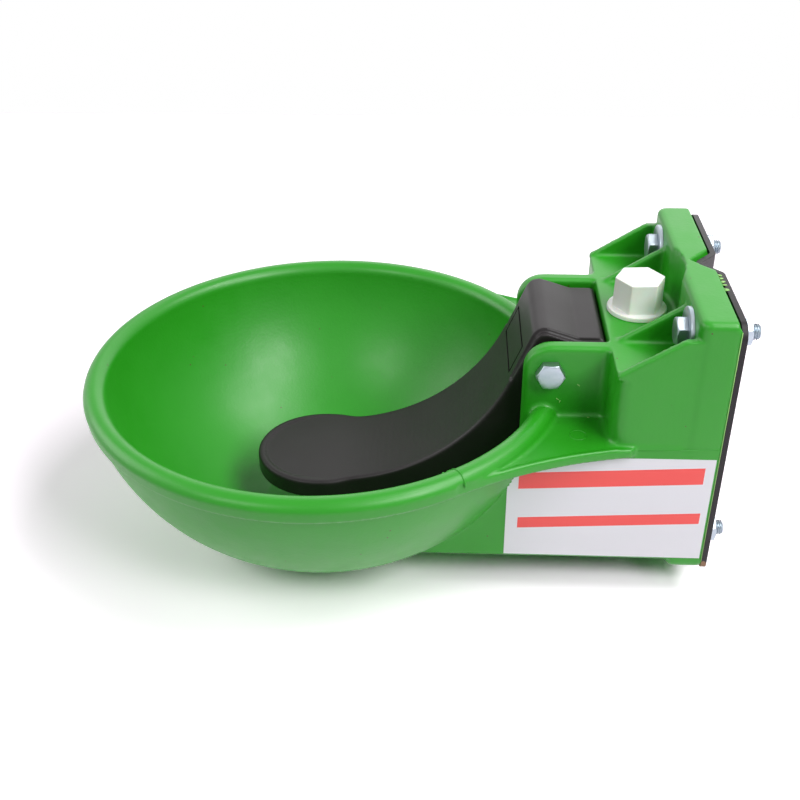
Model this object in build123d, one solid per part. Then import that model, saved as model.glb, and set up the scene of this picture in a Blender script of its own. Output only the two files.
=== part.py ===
from build123d import *
import math
import os

# Livestock drinking bowl, in millimetres.
# Origin: centre of the four-bolt pattern on the moulding's back face.
# +X to the side, -Y towards the animal, +Z up. The post or wall is on the +Y side.

# Mounting flange of the moulding, with an upright groove for the corner of a post
FLANGE_WIDTH = 139.0
FLANGE_TOP = 75.0
FLANGE_BOTTOM = -72.0
FLANGE_THICKNESS = 19.0
FLANGE_CORNER = 5.0
FLANGE_BOTTOM_ROUND = 6.0
BOLT_SPACING_X = 96.0
BOLT_SPACING_Z = 120.0
GROOVE_HALF_WIDTH = 12.2
GROOVE_DEPTH = 10.7
SCALLOP_HALF_WIDTH = 17.5
SCALLOP_DEPTH = 3.5

# Rounding of the moulding's edges
EAR_EDGE = 2.2
FLANGE_EDGE = 3.0

# Valve housing and its deck
HOUSING_WIDTH = 138.0
HOUSING_FRONT = 54.6
HOUSING_CORNER = 7.0
DECK_WASHER_GAP = 2.0
WALL = 4.5
GUSSET_THICKNESS = 4.0
OUTER_GUSSET_HEIGHT = 19.0
OUTER_GUSSET_REACH = 29.8
INNER_GUSSET_GAP = 0.5
INNER_GUSSET_HEIGHT = 20.5
INNER_GUSSET_SETBACK = 3.6

# Lower housing: side walls and the shelf between the rim and the housing
SKIRT_BOTTOM = -65.0
SHELF_HEIGHT = 6.2
SHELF_THICKNESS = 5.0
SHELF_SWEEP_RADIUS = 215.0
SHELF_NOSE = 3.3

# Bowl
BOWL_SETBACK = 201.9
RIM_RADIUS = 130.0
RIM_HEIGHT = 7.2
BEAD_WIDTH = 12.0
BEAD_HEIGHT = 5.0
BAND_TAPER = 0.8
BAND_STEP = 2.2
BOWL_BOTTOM = -88.0
BOWL_FOOT_RADIUS = 40.0
BOWL_SIDE_CURVE = 116.0
BOWL_FLOOR_THICKNESS = 5.0

# Hinge ears and the chamber between them
EAR_GAP = 67.6
EAR_THICKNESS = 8.6
EAR_FRONT = 96.7
EAR_CORNER = 14.0
CHAMBER_FLOOR_BACK = -34.0
CHAMBER_FLOOR_SLOPE = 0.3
PIVOT_SETBACK = 83.5
PIVOT_HEIGHT = 31.6

# Water way: an upright tube with a brass bushing at each end
WATERWAY_SETBACK = 36.5
WATERWAY_RADIUS = 9.0
WATERWAY_WALL = 9.0
BUSHING_RADIUS = 13.0
BUSHING_LENGTH = 16.0
INLET_THREAD_RADIUS = 9.9
SEAL_THICKNESS = 2.0
PLUG_FLANGE_RADIUS = 15.5
PLUG_FLANGE_THICKNESS = 2.5
PLUG_HEX = 23.0
PLUG_HEX_HEIGHT = 16.3
PLUG_HEX_TURN = 34.0
PLUG_HEX_BEVEL_SHARE = 0.3
PLUG_THREAD_LENGTH = 13.0
PLUG_CORE_RADIUS = 7.0

# Valve, on an axis along Y below the pivot
VALVE_LEVER = 35.0
VALVE_THREAD_RADIUS = 12.0
VALVE_THREAD_LENGTH = 10.0
VALVE_FLANGE_HEX = 30.0
VALVE_FLANGE_THICKNESS = 5.0
VALVE_GASKET_THICKNESS = 1.5
VALVE_NOSE_RADIUS = 10.0
VALVE_NOSE_LENGTH = 14.0
VALVE_TAIL_RADIUS = 8.5
VALVE_TAIL_LENGTH = 15.0
VALVE_BORE_RADIUS = 6.8
VALVE_SEAT_THICKNESS = 4.0
VALVE_ORIFICE_RADIUS = 4.0
VALVE_PORT_RADIUS = 2.6
VALVE_GUIDE_THICKNESS = 4.0
VALVE_WATER_GAP = 6.0
STEM_RADIUS = 2.5
STEM_TIP_LENGTH = 8.6
STEM_BUTTON_RADIUS = 4.5
STEM_BUTTON_THICKNESS = 3.6
STEM_BUTTON_CROWN = 8.0
STEM_CLEARANCE = 0.05
DISC_RADIUS = 5.8
DISC_THICKNESS = 2.5
DISC_SEAL_THICKNESS = 2.0
SPRING_RADIUS = 4.9
SPRING_WIRE = 1.1
SPRING_TURNS = 6
RETAINER_THICKNESS = 3.0
RETAINER_HOLE_RADIUS = 2.8

# Tongue
TONGUE_NECK_WIDTH = 63.0
TONGUE_SPOON_WIDTH = 70.0
TONGUE_SPOON_START = 182.0
TONGUE_FLARE_LENGTH = 22.0
TONGUE_TIP_ROUND = 37.0
TONGUE_TIP_FULLNESS = 0.56
TONGUE_TIP = 243.0
TONGUE_PADDLE_HEIGHT = -45.8
TONGUE_CURVE_RADIUS = 105.0
TONGUE_FACE_SETBACK = 102.6
TONGUE_FACE_ANGLE = 68.0
TONGUE_RIDGE_HEIGHT = 51.0
TONGUE_HOOD_HEIGHT = 44.0
TONGUE_HOOD_STEP = 69.0
TONGUE_WALL = 3.2
TONGUE_RIDGE_RADIUS = 7.0
TONGUE_EDGE_RADIUS = 2.0
TONGUE_TOP_TILT = 0.2  # a face whose normal points up by more than this belongs to the upper surface
TONGUE_SPOON_DEPTH = 10.5
TONGUE_NECK_DEPTH = 30.0
TONGUE_WALL_GAP = 0.4
TONGUE_STEM_GAP = 0.3
TONGUE_PAD_HALF = 8.0
TONGUE_PANEL_WIDTH = 44.0
TONGUE_PANEL_LENGTH = 20.0
TONGUE_PANEL_DEPTH = 0.8
TONGUE_PANEL_DROP = 8.0
TONGUE_LIP = 4.0
TONGUE_LIP_HEIGHT = 0.9
BARREL_WALL = 4.0

# Pivot
SLEEVE_WALL = 2.0
SLEEVE_CLEARANCE = 0.08
BOLT_HOLE_CLEARANCE = 0.2
PIVOT_BOLT_LENGTH = 100.0
LOCK_NUT_HEIGHT = 8.0

# M8 fasteners
BOLT_RADIUS = 4.0
BOLT_LENGTH = 35.0
BOLT_END_CHAMFER = 0.8
HEX_ACROSS_FLATS = 13.0
HEX_HEAD_HEIGHT = 5.3
HEX_BEVEL_SHARE = 1.1  # of the gap between the hexagon's flats and its corners
NUT_HEIGHT = 6.8
THREAD_CLEARANCE = 0.03
SPRING_WASHER_RADIUS = 7.4
SPRING_WASHER_THICKNESS = 2.0
SPRING_WASHER_SPLIT = 1.6
SPRING_WASHER_TURN = 30.0
FENDER_WASHER_RADIUS = 12.0
FENDER_WASHER_THICKNESS = 2.0

# Steel mounting plate
PLATE_THICKNESS = 3.0
PLATE_MARGIN = 0.5
PLATE_BEND_RADIUS = 1.5
PLATE_TOP_DROP = 1.9

# Instruction label on the side wall
LABEL_LENGTH = 102.0
LABEL_HEIGHT = 63.0
LABEL_THICKNESS = 0.3
LABEL_BACK_MARGIN = 1.6
LABEL_BOTTOM_MARGIN = 1.5

# Values worked out from the sizes above
ROUND_BASE = (Align.CENTER, Align.CENTER, Align.MIN)
OVER = 60.0  # how far a cutting tool runs past what it cuts
HALF_FLANGE = FLANGE_WIDTH / 2
HALF_HOUSING = HOUSING_WIDTH / 2
BAND_RADIUS = RIM_RADIUS - BAND_TAPER
ROOT = -(FLANGE_THICKNESS + GROOVE_DEPTH) / 2  # how far back ribs and walls run into the flange
HALF_GAP = EAR_GAP / 2
EAR_OUTER = HALF_GAP + EAR_THICKNESS
DECK_HEIGHT = BOLT_SPACING_Z / 2 - FENDER_WASHER_RADIUS - DECK_WASHER_GAP
WATERWAY_OUTER = WATERWAY_RADIUS + WATERWAY_WALL
VALVE_HEIGHT = PIVOT_HEIGHT - VALVE_LEVER
BOLT_HOLE_RADIUS = BOLT_RADIUS + BOLT_HOLE_CLEARANCE
SLEEVE_BORE = BOLT_RADIUS + SLEEVE_CLEARANCE
SLEEVE_RADIUS = SLEEVE_BORE + SLEEVE_WALL
BARREL_BORE = SLEEVE_RADIUS + SLEEVE_CLEARANCE
VALVE_FLANGE_BACK = -HOUSING_FRONT - VALVE_GASKET_THICKNESS
VALVE_FLANGE_FACE = VALVE_FLANGE_BACK - VALVE_FLANGE_THICKNESS
VALVE_NOSE_FACE = VALVE_FLANGE_FACE - VALVE_NOSE_LENGTH
VALVE_SEAT_FACE = VALVE_FLANGE_FACE + VALVE_SEAT_THICKNESS
VALVE_THREAD_END = VALVE_FLANGE_BACK + VALVE_GASKET_THICKNESS + VALVE_THREAD_LENGTH
VALVE_TAIL_END = VALVE_THREAD_END + VALVE_TAIL_LENGTH
DISC_FACE = VALVE_SEAT_FACE + DISC_SEAL_THICKNESS
RETAINER_FACE = VALVE_TAIL_END - RETAINER_THICKNESS
STEM_TIP = VALVE_NOSE_FACE - STEM_TIP_LENGTH
INNER_GUSSET_X = BOLT_SPACING_X / 2 - FENDER_WASHER_RADIUS - INNER_GUSSET_GAP - GUSSET_THICKNESS / 2
BUSHING_TOP = DECK_HEIGHT - SEAL_THICKNESS
TONGUE_CURVE_END = TONGUE_FACE_SETBACK + TONGUE_CURVE_RADIUS * math.sin(math.radians(TONGUE_FACE_ANGLE))
UPPER_BOLTS = [(x, BOLT_SPACING_Z / 2) for x in (-BOLT_SPACING_X / 2, BOLT_SPACING_X / 2)]
LOWER_BOLTS = [(x, -z) for x, z in UPPER_BOLTS]
BOLT_PLACES = LOWER_BOLTS + UPPER_BOLTS


def block(x_low, x_high, y_low, y_high, z_low, z_high):
    """Box given by its six sides."""
    size = (x_high - x_low, y_high - y_low, z_high - z_low)
    return Pos(x_low, y_low, z_low) * Box(*size, align=(Align.MIN, Align.MIN, Align.MIN))


def from_side(outline, x_low, x_high):
    """Outline drawn in Y and Z, given thickness along X."""
    return Pos(x_low, 0, 0) * extrude(Plane.YZ * make_face(outline), x_high - x_low)


def from_top(outline, z_low, z_high):
    """Outline drawn in X and Y, given thickness along Z."""
    return Pos(0, 0, z_low) * extrude(make_face(outline), z_high - z_low)


def rod_y(radius, y_low, y_high, x=0.0, z=0.0):
    """Round bar along Y."""
    return Pos(x, y_low, z) * Rot(-90, 0, 0) * Cylinder(radius, y_high - y_low, align=ROUND_BASE)


def rod_x(radius, x_low, x_high, y=0.0, z=0.0):
    """Round bar along X."""
    return Pos(x_low, y, z) * Rot(0, 90, 0) * Cylinder(radius, x_high - x_low, align=ROUND_BASE)


def polygon(*points):
    return Polyline(*points, close=True)


# ---- the green moulding ----

def bowl_outside():
    """The bowl with no hollow: foot, curved side, band under the rim and rolled bead."""
    band_bottom = SHELF_HEIGHT - SHELF_THICKNESS
    body_radius = BAND_RADIUS - BAND_STEP
    bead_centre = RIM_RADIUS - BEAD_WIDTH / 2
    outline = [
        Line((0, BOWL_BOTTOM), (BOWL_FOOT_RADIUS, BOWL_BOTTOM)),
        RadiusArc((BOWL_FOOT_RADIUS, BOWL_BOTTOM), (body_radius, band_bottom), -BOWL_SIDE_CURVE),
        Line((body_radius, band_bottom), (BAND_RADIUS, band_bottom)),
        Line((BAND_RADIUS, band_bottom), (RIM_RADIUS, RIM_HEIGHT)),
        ThreePointArc(
            (RIM_RADIUS, RIM_HEIGHT),
            (bead_centre, RIM_HEIGHT + BEAD_HEIGHT),
            (RIM_RADIUS - BEAD_WIDTH, RIM_HEIGHT),
        ),
        Line((RIM_RADIUS - BEAD_WIDTH, RIM_HEIGHT), (0, RIM_HEIGHT)),
        Line((0, RIM_HEIGHT), (0, BOWL_BOTTOM)),
    ]
    return Pos(0, -BOWL_SETBACK, 0) * revolve(Plane.XZ * make_face(outline), Axis.Z)


def bowl_hollow():
    """The space inside the bowl, carried on above the rim."""
    inner_radius = RIM_RADIUS - BEAD_WIDTH
    floor = BOWL_BOTTOM + BOWL_FLOOR_THICKNESS
    above = RIM_HEIGHT + OVER
    outline = [
        Line((0, floor), (BOWL_FOOT_RADIUS, floor)),
        RadiusArc((BOWL_FOOT_RADIUS, floor), (inner_radius, RIM_HEIGHT), -BOWL_SIDE_CURVE),
        Line((inner_radius, RIM_HEIGHT), (inner_radius, above)),
        Line((inner_radius, above), (0, above)),
        Line((0, above), (0, floor)),
    ]
    return Pos(0, -BOWL_SETBACK, 0) * revolve(Plane.XZ * make_face(outline), Axis.Z)


def shelf():
    """Level web from the flange to the rim. Its lips start at a round nose and sweep out to the band."""
    sweep_x = HALF_FLANGE + SHELF_SWEEP_RADIUS
    reach = BAND_RADIUS + SHELF_SWEEP_RADIUS
    sweep_y = math.sqrt(reach**2 - sweep_x**2) - BOWL_SETBACK
    touch = BAND_RADIUS / reach
    rim_x = touch * sweep_x
    rim_y = -BOWL_SETBACK + touch * (sweep_y + BOWL_SETBACK)
    nose_x = HALF_FLANGE + SHELF_NOSE
    nose_y = sweep_y - math.sqrt(SHELF_SWEEP_RADIUS**2 - (SHELF_SWEEP_RADIUS - SHELF_NOSE) ** 2)
    wall_y = nose_y + SHELF_NOSE
    edges = [Line((-HALF_FLANGE, -FLANGE_THICKNESS), (HALF_FLANGE, -FLANGE_THICKNESS))]
    for side in (1, -1):
        edges += [
            Line((side * HALF_FLANGE, -FLANGE_THICKNESS), (side * HALF_FLANGE, wall_y)),
            RadiusArc((side * HALF_FLANGE, wall_y), (side * nose_x, nose_y), -side * SHELF_NOSE),
            RadiusArc((side * nose_x, nose_y), (side * rim_x, rim_y), side * SHELF_SWEEP_RADIUS),
            Line((side * rim_x, rim_y), (0, -BOWL_SETBACK)),
        ]
    return from_top(edges, SHELF_HEIGHT - SHELF_THICKNESS, SHELF_HEIGHT)


def side_walls():
    """The two upright walls below the shelf, from the flange forward into the bowl."""
    inside = HALF_FLANGE - WALL
    top = SHELF_HEIGHT - SHELF_THICKNESS / 2
    walls = [
        block(low, high, -BOWL_SETBACK, ROOT, SKIRT_BOTTOM, top)
        for low, high in ((-HALF_FLANGE, -inside), (inside, HALF_FLANGE))
    ]
    return walls[0] + walls[1]


def chamber_outline(thickness):
    """Side view of the trough between the ears; thickness is added below it and behind it."""
    back = -HOUSING_FRONT + thickness
    floor = CHAMBER_FLOOR_BACK - thickness
    front_run = BOWL_SETBACK - HOUSING_FRONT
    front_floor = CHAMBER_FLOOR_BACK - CHAMBER_FLOOR_SLOPE * front_run - thickness
    above = DECK_HEIGHT + OVER if thickness == 0 else SHELF_HEIGHT
    return polygon((back, above), (back, floor), (-BOWL_SETBACK, front_floor), (-BOWL_SETBACK, above))


def upper_housing():
    """Box above the shelf with rounded upright corners, hollow from below."""
    low = SHELF_HEIGHT - SHELF_THICKNESS
    solid = block(-HALF_HOUSING, HALF_HOUSING, -HOUSING_FRONT, ROOT, low, DECK_HEIGHT)
    upright = solid.edges().filter_by(Axis.Z).group_by(Axis.Y)[0]
    solid = fillet(upright, HOUSING_CORNER)
    hollow = block(
        WALL - HALF_HOUSING, HALF_HOUSING - WALL, WALL - HOUSING_FRONT, -FLANGE_THICKNESS,
        SKIRT_BOTTOM, DECK_HEIGHT - WALL,
    )
    inside_corners = hollow.edges().filter_by(Axis.Z).group_by(Axis.Y)[0]
    return solid, fillet(inside_corners, HOUSING_CORNER - WALL / 2)


def gussets():
    """Four upright ribs on the deck that brace the flange: two at the sides, two inside the bolts."""
    outer = polygon(
        (-HOUSING_FRONT, DECK_HEIGHT - WALL / 2),
        (-HOUSING_FRONT, DECK_HEIGHT),
        (-HOUSING_FRONT + OUTER_GUSSET_REACH, DECK_HEIGHT + OUTER_GUSSET_HEIGHT),
        (ROOT, DECK_HEIGHT + OUTER_GUSSET_HEIGHT),
        (ROOT, DECK_HEIGHT - WALL / 2),
    )
    start = -HOUSING_FRONT + INNER_GUSSET_SETBACK
    inner = polygon(
        (start, DECK_HEIGHT - WALL / 2),
        (start, DECK_HEIGHT),
        (-FLANGE_THICKNESS, DECK_HEIGHT + INNER_GUSSET_HEIGHT),
        (ROOT, DECK_HEIGHT + INNER_GUSSET_HEIGHT),
        (ROOT, DECK_HEIGHT - WALL / 2),
    )
    ribs = []
    for side in (-1, 1):
        place = side * (HALF_HOUSING - GUSSET_THICKNESS / 2)
        ribs.append(from_side(outer, place - GUSSET_THICKNESS / 2, place + GUSSET_THICKNESS / 2))
        place = side * INNER_GUSSET_X
        ribs.append(from_side(inner, place - GUSSET_THICKNESS / 2, place + GUSSET_THICKNESS / 2))
    return ribs


def flange():
    """Thick back plate with rounded edges, the groove for a post and the scallop by the plug."""
    plate = block(-HALF_FLANGE, HALF_FLANGE, -FLANGE_THICKNESS, 0, FLANGE_BOTTOM, FLANGE_TOP)
    upright = plate.edges().filter_by(Axis.Z).group_by(Axis.Y)[0]
    plate = fillet(upright, FLANGE_CORNER)
    lowest_edges = plate.edges().filter_by(Axis.X).group_by(Axis.Z)[0]
    plate = fillet(lowest_edges.sort_by(Axis.Y)[0], FLANGE_BOTTOM_ROUND)
    top_edges = plate.faces().sort_by(Axis.Z)[-1].edges()
    plate = fillet(top_edges.sort_by(Axis.Y)[:-1], FLANGE_EDGE)
    groove = polygon((-GROOVE_HALF_WIDTH, 0), (0, -GROOVE_DEPTH), (GROOVE_HALF_WIDTH, 0))
    plate -= from_top(groove, FLANGE_BOTTOM - OVER, FLANGE_TOP + OVER)
    back_edges = plate.edges().filter_by(Axis.Z).group_by(Axis.Y)[-1]
    plate = fillet(back_edges.sort_by(Axis.X)[1:3], PLATE_BEND_RADIUS)
    scallop_radius = (SCALLOP_HALF_WIDTH**2 + SCALLOP_DEPTH**2) / (2 * SCALLOP_DEPTH)
    scallop_centre = -FLANGE_THICKNESS + SCALLOP_DEPTH - scallop_radius
    scallop = Pos(0, scallop_centre, DECK_HEIGHT) * Cylinder(scallop_radius, OVER, align=ROUND_BASE)
    return plate - scallop


def ears():
    """Two hinge ears that carry on down as the side walls of the trough between them."""
    low = CHAMBER_FLOOR_BACK
    front = -EAR_FRONT
    outline = [
        Line((-HOUSING_FRONT + WALL / 2, low), (-HOUSING_FRONT + WALL / 2, DECK_HEIGHT)),
        Line((-HOUSING_FRONT + WALL / 2, DECK_HEIGHT), (front + EAR_CORNER, DECK_HEIGHT)),
        RadiusArc((front + EAR_CORNER, DECK_HEIGHT), (front, DECK_HEIGHT - EAR_CORNER), -EAR_CORNER),
        Line((front, DECK_HEIGHT - EAR_CORNER), (front, low)),
        Line((front, low), (-HOUSING_FRONT + WALL / 2, low)),
    ]
    pair = None
    for x_low in (-EAR_OUTER, HALF_GAP):
        ear = from_side(outline, x_low, x_low + EAR_THICKNESS)
        back = ear.faces().sort_by(Axis.Y)[-1]
        under = ear.faces().sort_by(Axis.Z)[0]
        kept = back.edges() + under.edges() + ear.edges().filter_by(Axis.X)
        ear = fillet(ear.edges() - kept, EAR_EDGE)
        pair = ear if pair is None else pair + ear
    return pair


def bowl_housing():
    """The one-piece green moulding."""
    upper, upper_hollow = upper_housing()
    body = bowl_outside() + shelf() + side_walls() + upper
    body += from_side(chamber_outline(WALL), -EAR_OUTER, EAR_OUTER)
    body -= upper_hollow
    body -= bowl_hollow()
    body += ears()
    body += flange()
    for rib in gussets():
        body += rib
    body += Pos(0, -WATERWAY_SETBACK, SKIRT_BOTTOM) * Cylinder(
        WATERWAY_OUTER, DECK_HEIGHT - WALL / 2 - SKIRT_BOTTOM, align=ROUND_BASE
    )
    boss_radius = VALVE_THREAD_RADIUS + WALL
    body += rod_y(boss_radius, -HOUSING_FRONT + WALL / 2, -WATERWAY_SETBACK, z=VALVE_HEIGHT)
    body -= from_side(chamber_outline(0), -HALF_GAP, HALF_GAP)
    body -= Pos(0, -WATERWAY_SETBACK, SKIRT_BOTTOM - OVER) * Cylinder(
        WATERWAY_RADIUS, DECK_HEIGHT - SKIRT_BOTTOM + 2 * OVER, align=ROUND_BASE
    )
    for low in (SKIRT_BOTTOM, BUSHING_TOP - BUSHING_LENGTH):
        body -= Pos(0, -WATERWAY_SETBACK, low) * Cylinder(
            BUSHING_RADIUS, BUSHING_LENGTH, align=ROUND_BASE
        )
    body -= Pos(0, -WATERWAY_SETBACK, BUSHING_TOP) * Cylinder(
        BUSHING_RADIUS, SEAL_THICKNESS + OVER, align=ROUND_BASE
    )
    water_end = VALVE_TAIL_END + VALVE_WATER_GAP
    body -= rod_y(VALVE_THREAD_RADIUS, -HOUSING_FRONT - WALL, water_end, z=VALVE_HEIGHT)
    body -= rod_x(
        BOLT_HOLE_RADIUS, -EAR_OUTER - WALL, EAR_OUTER + WALL, -PIVOT_SETBACK, PIVOT_HEIGHT
    )
    for x, z in BOLT_PLACES:
        body -= rod_y(BOLT_HOLE_RADIUS, -HOUSING_FRONT, OVER, x, z)
    return body


# ---- steel plate and M8 fasteners ----

def round_corner(face, place, radius):
    """Flat face with the corner nearest the given place rounded."""
    corner = face.vertices().sort_by_distance((*place, 0))[0]
    return fillet(corner, radius)


def mounting_plate():
    """Steel sheet bent to follow the groove, with four bolt holes."""
    bend = math.atan2(GROOVE_DEPTH, GROOVE_HALF_WIDTH)
    side = HALF_FLANGE - PLATE_MARGIN
    back_bend = GROOVE_HALF_WIDTH - PLATE_THICKNESS * math.tan(bend / 2)
    back_tip = PLATE_THICKNESS / math.cos(bend) - GROOVE_DEPTH
    face = make_face(polygon(
        (-side, 0), (-GROOVE_HALF_WIDTH, 0), (0, -GROOVE_DEPTH), (GROOVE_HALF_WIDTH, 0), (side, 0),
        (side, PLATE_THICKNESS), (back_bend, PLATE_THICKNESS), (0, back_tip), (-back_bend, PLATE_THICKNESS),
        (-side, PLATE_THICKNESS),
    ))
    outer_bend = PLATE_BEND_RADIUS + PLATE_THICKNESS
    for turn in (-1, 1):
        face = round_corner(face, (turn * GROOVE_HALF_WIDTH, 0), PLATE_BEND_RADIUS)
        face = round_corner(face, (turn * back_bend, PLATE_THICKNESS), outer_bend)
    face = round_corner(face, (0, -GROOVE_DEPTH), outer_bend)
    face = round_corner(face, (0, back_tip), PLATE_BEND_RADIUS)
    low = FLANGE_BOTTOM + PLATE_MARGIN
    plate = Pos(0, 0, low) * extrude(face, FLANGE_TOP - PLATE_TOP_DROP - low)
    for x, z in BOLT_PLACES:
        plate -= rod_y(BOLT_HOLE_RADIUS, -OVER, OVER, x, z)
    return plate


def hex_prism(across_flats, height, bevel_share=HEX_BEVEL_SHARE):
    """Upright hexagonal bar standing on z = 0, its corners bevelled at the top."""
    bar = extrude(RegularPolygon(across_flats / 2, 6, major_radius=False), height)
    corner = across_flats / math.sqrt(3)
    bevel = (corner - across_flats / 2) * bevel_share
    round_low = Cylinder(corner, height - bevel / 2, align=ROUND_BASE)
    round_top = Cone(corner, corner - bevel, bevel / 2, align=ROUND_BASE)
    return bar & (round_low + Pos(0, 0, height - bevel / 2) * round_top)


def hex_bolt(length):
    """M8 bolt along Z: the shank runs from z = 0 up, the head hangs below."""
    head = Rot(180, 0, 0) * hex_prism(HEX_ACROSS_FLATS, HEX_HEAD_HEIGHT)
    shank = Cylinder(BOLT_RADIUS, length, align=ROUND_BASE)
    end = shank.edges().filter_by(GeomType.CIRCLE).group_by(Axis.Z)[-1]
    return head + chamfer(end, BOLT_END_CHAMFER)


def hex_nut(height):
    """M8 nut along Z, its lower face on z = 0."""
    bore = Cylinder(BOLT_RADIUS + THREAD_CLEARANCE, height, align=ROUND_BASE)
    return hex_prism(HEX_ACROSS_FLATS, height) - bore


def washer(radius, thickness):
    """Flat ring along Z, its lower face on z = 0."""
    ring = Cylinder(radius, thickness, align=ROUND_BASE)
    return ring - Cylinder(BOLT_HOLE_RADIUS, thickness, align=ROUND_BASE)


def at_bolts(shape, y, places):
    """Copies of an upright fastener at the given bolts, turned to point along +Y from the given depth."""
    return Compound([Pos(x, y, z) * Rot(-90, 0, 0) * shape for x, z in places])


def fender_washers():
    """Wide flat rings under the upper two bolt heads."""
    ring = washer(FENDER_WASHER_RADIUS, FENDER_WASHER_THICKNESS)
    return at_bolts(ring, -FLANGE_THICKNESS - FENDER_WASHER_THICKNESS, UPPER_BOLTS)


def spring_washers():
    """Split rings under the lower two bolt heads, which sit inside the housing."""
    ring = washer(SPRING_WASHER_RADIUS, SPRING_WASHER_THICKNESS)
    slot = Box(SPRING_WASHER_SPLIT, OVER, OVER, align=(Align.CENTER, Align.MIN, Align.CENTER))
    ring -= Pos(0, 0, SPRING_WASHER_THICKNESS / 2) * Rot(0, SPRING_WASHER_TURN, 0) * slot
    return at_bolts(ring, -FLANGE_THICKNESS - SPRING_WASHER_THICKNESS, LOWER_BOLTS)


def mounting_bolts():
    bolt = hex_bolt(BOLT_LENGTH)
    upper = at_bolts(bolt, -FLANGE_THICKNESS - FENDER_WASHER_THICKNESS, UPPER_BOLTS)
    lower = at_bolts(bolt, -FLANGE_THICKNESS - SPRING_WASHER_THICKNESS, LOWER_BOLTS)
    return Compound([*upper.solids(), *lower.solids()])


def mounting_nuts():
    return at_bolts(hex_nut(NUT_HEIGHT), PLATE_THICKNESS, BOLT_PLACES)


# ---- water way ----

def bushing(low):
    """Brass ring moulded into the water way."""
    ring = Cylinder(BUSHING_RADIUS, BUSHING_LENGTH, align=ROUND_BASE)
    ring -= Cylinder(INLET_THREAD_RADIUS, BUSHING_LENGTH, align=ROUND_BASE)
    return Pos(0, -WATERWAY_SETBACK, low) * ring


def top_inlet_bushing():
    return bushing(BUSHING_TOP - BUSHING_LENGTH)


def bottom_inlet_bushing():
    return bushing(SKIRT_BOTTOM)


def plug_seal():
    ring = Cylinder(BUSHING_RADIUS, SEAL_THICKNESS, align=ROUND_BASE)
    ring -= Cylinder(INLET_THREAD_RADIUS, SEAL_THICKNESS, align=ROUND_BASE)
    return Pos(0, -WATERWAY_SETBACK, BUSHING_TOP) * ring


def blind_plug():
    """Plastic plug: hollow threaded shank, round flange and hexagonal head."""
    thread_radius = INLET_THREAD_RADIUS - THREAD_CLEARANCE
    shank_length = PLUG_THREAD_LENGTH + SEAL_THICKNESS
    shank = Pos(0, 0, -shank_length) * Cylinder(thread_radius, shank_length, align=ROUND_BASE)
    core = Pos(0, 0, -shank_length) * Cylinder(PLUG_CORE_RADIUS, shank_length, align=ROUND_BASE)
    disc = Cylinder(PLUG_FLANGE_RADIUS, PLUG_FLANGE_THICKNESS, align=ROUND_BASE)
    hexagon = hex_prism(PLUG_HEX, PLUG_HEX_HEIGHT, PLUG_HEX_BEVEL_SHARE)
    hexagon = Pos(0, 0, PLUG_FLANGE_THICKNESS) * Rot(0, 0, PLUG_HEX_TURN) * hexagon
    return Pos(0, -WATERWAY_SETBACK, DECK_HEIGHT) * (shank + disc + hexagon - core)


# ---- valve ----

def valve_rod(radius, y_low, y_high):
    return rod_y(radius, y_low, y_high, z=VALVE_HEIGHT)


def valve_body():
    """Brass body: nose with side ports, hexagonal flange, thread and a tail that holds the spring."""
    body = valve_rod(VALVE_NOSE_RADIUS, VALVE_NOSE_FACE, VALVE_FLANGE_FACE)
    flange_hex = hex_prism(VALVE_FLANGE_HEX, VALVE_FLANGE_THICKNESS)
    body += Pos(0, VALVE_FLANGE_BACK, VALVE_HEIGHT) * Rot(90, 0, 0) * flange_hex
    thread_radius = VALVE_THREAD_RADIUS - THREAD_CLEARANCE
    body += valve_rod(thread_radius, VALVE_FLANGE_BACK, VALVE_THREAD_END)
    body += valve_rod(VALVE_TAIL_RADIUS, VALVE_THREAD_END, VALVE_TAIL_END)
    body -= valve_rod(VALVE_BORE_RADIUS, VALVE_SEAT_FACE, VALVE_TAIL_END)
    body -= valve_rod(VALVE_ORIFICE_RADIUS, VALVE_FLANGE_FACE - VALVE_SEAT_THICKNESS, VALVE_SEAT_FACE)
    guide_back = VALVE_NOSE_FACE + VALVE_GUIDE_THICKNESS
    body -= valve_rod(VALVE_BORE_RADIUS, guide_back, VALVE_FLANGE_FACE)
    body -= valve_rod(STEM_RADIUS + STEM_CLEARANCE, VALVE_NOSE_FACE, guide_back)
    port_y = (guide_back + VALVE_FLANGE_FACE) / 2
    port = Cylinder(VALVE_PORT_RADIUS, 2 * VALVE_NOSE_RADIUS + WALL)
    for turn in (0, 90):
        body -= Pos(0, port_y, VALVE_HEIGHT) * Rot(0, turn, 0) * port
    return body


def valve_gasket():
    ring = valve_rod(VALVE_FLANGE_HEX / 2, VALVE_FLANGE_BACK, -HOUSING_FRONT)
    return ring - valve_rod(VALVE_THREAD_RADIUS + THREAD_CLEARANCE, VALVE_FLANGE_BACK, -HOUSING_FRONT)


def valve_stem():
    """Steel push rod with a domed button at the front and the valve disc behind the seat."""
    button = valve_rod(STEM_BUTTON_RADIUS, STEM_TIP, STEM_TIP + STEM_BUTTON_THICKNESS)
    button &= Pos(0, STEM_TIP + STEM_BUTTON_CROWN, VALVE_HEIGHT) * Sphere(STEM_BUTTON_CROWN)
    stem = button + valve_rod(STEM_RADIUS, STEM_TIP + STEM_BUTTON_THICKNESS / 2, DISC_FACE)
    return stem + valve_rod(DISC_RADIUS, DISC_FACE, DISC_FACE + DISC_THICKNESS)


def valve_disc_seal():
    """Rubber ring on the front of the disc, pressed on the seat."""
    ring = valve_rod(DISC_RADIUS, VALVE_SEAT_FACE, DISC_FACE)
    return ring - valve_rod(STEM_RADIUS, VALVE_SEAT_FACE, DISC_FACE)


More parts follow.
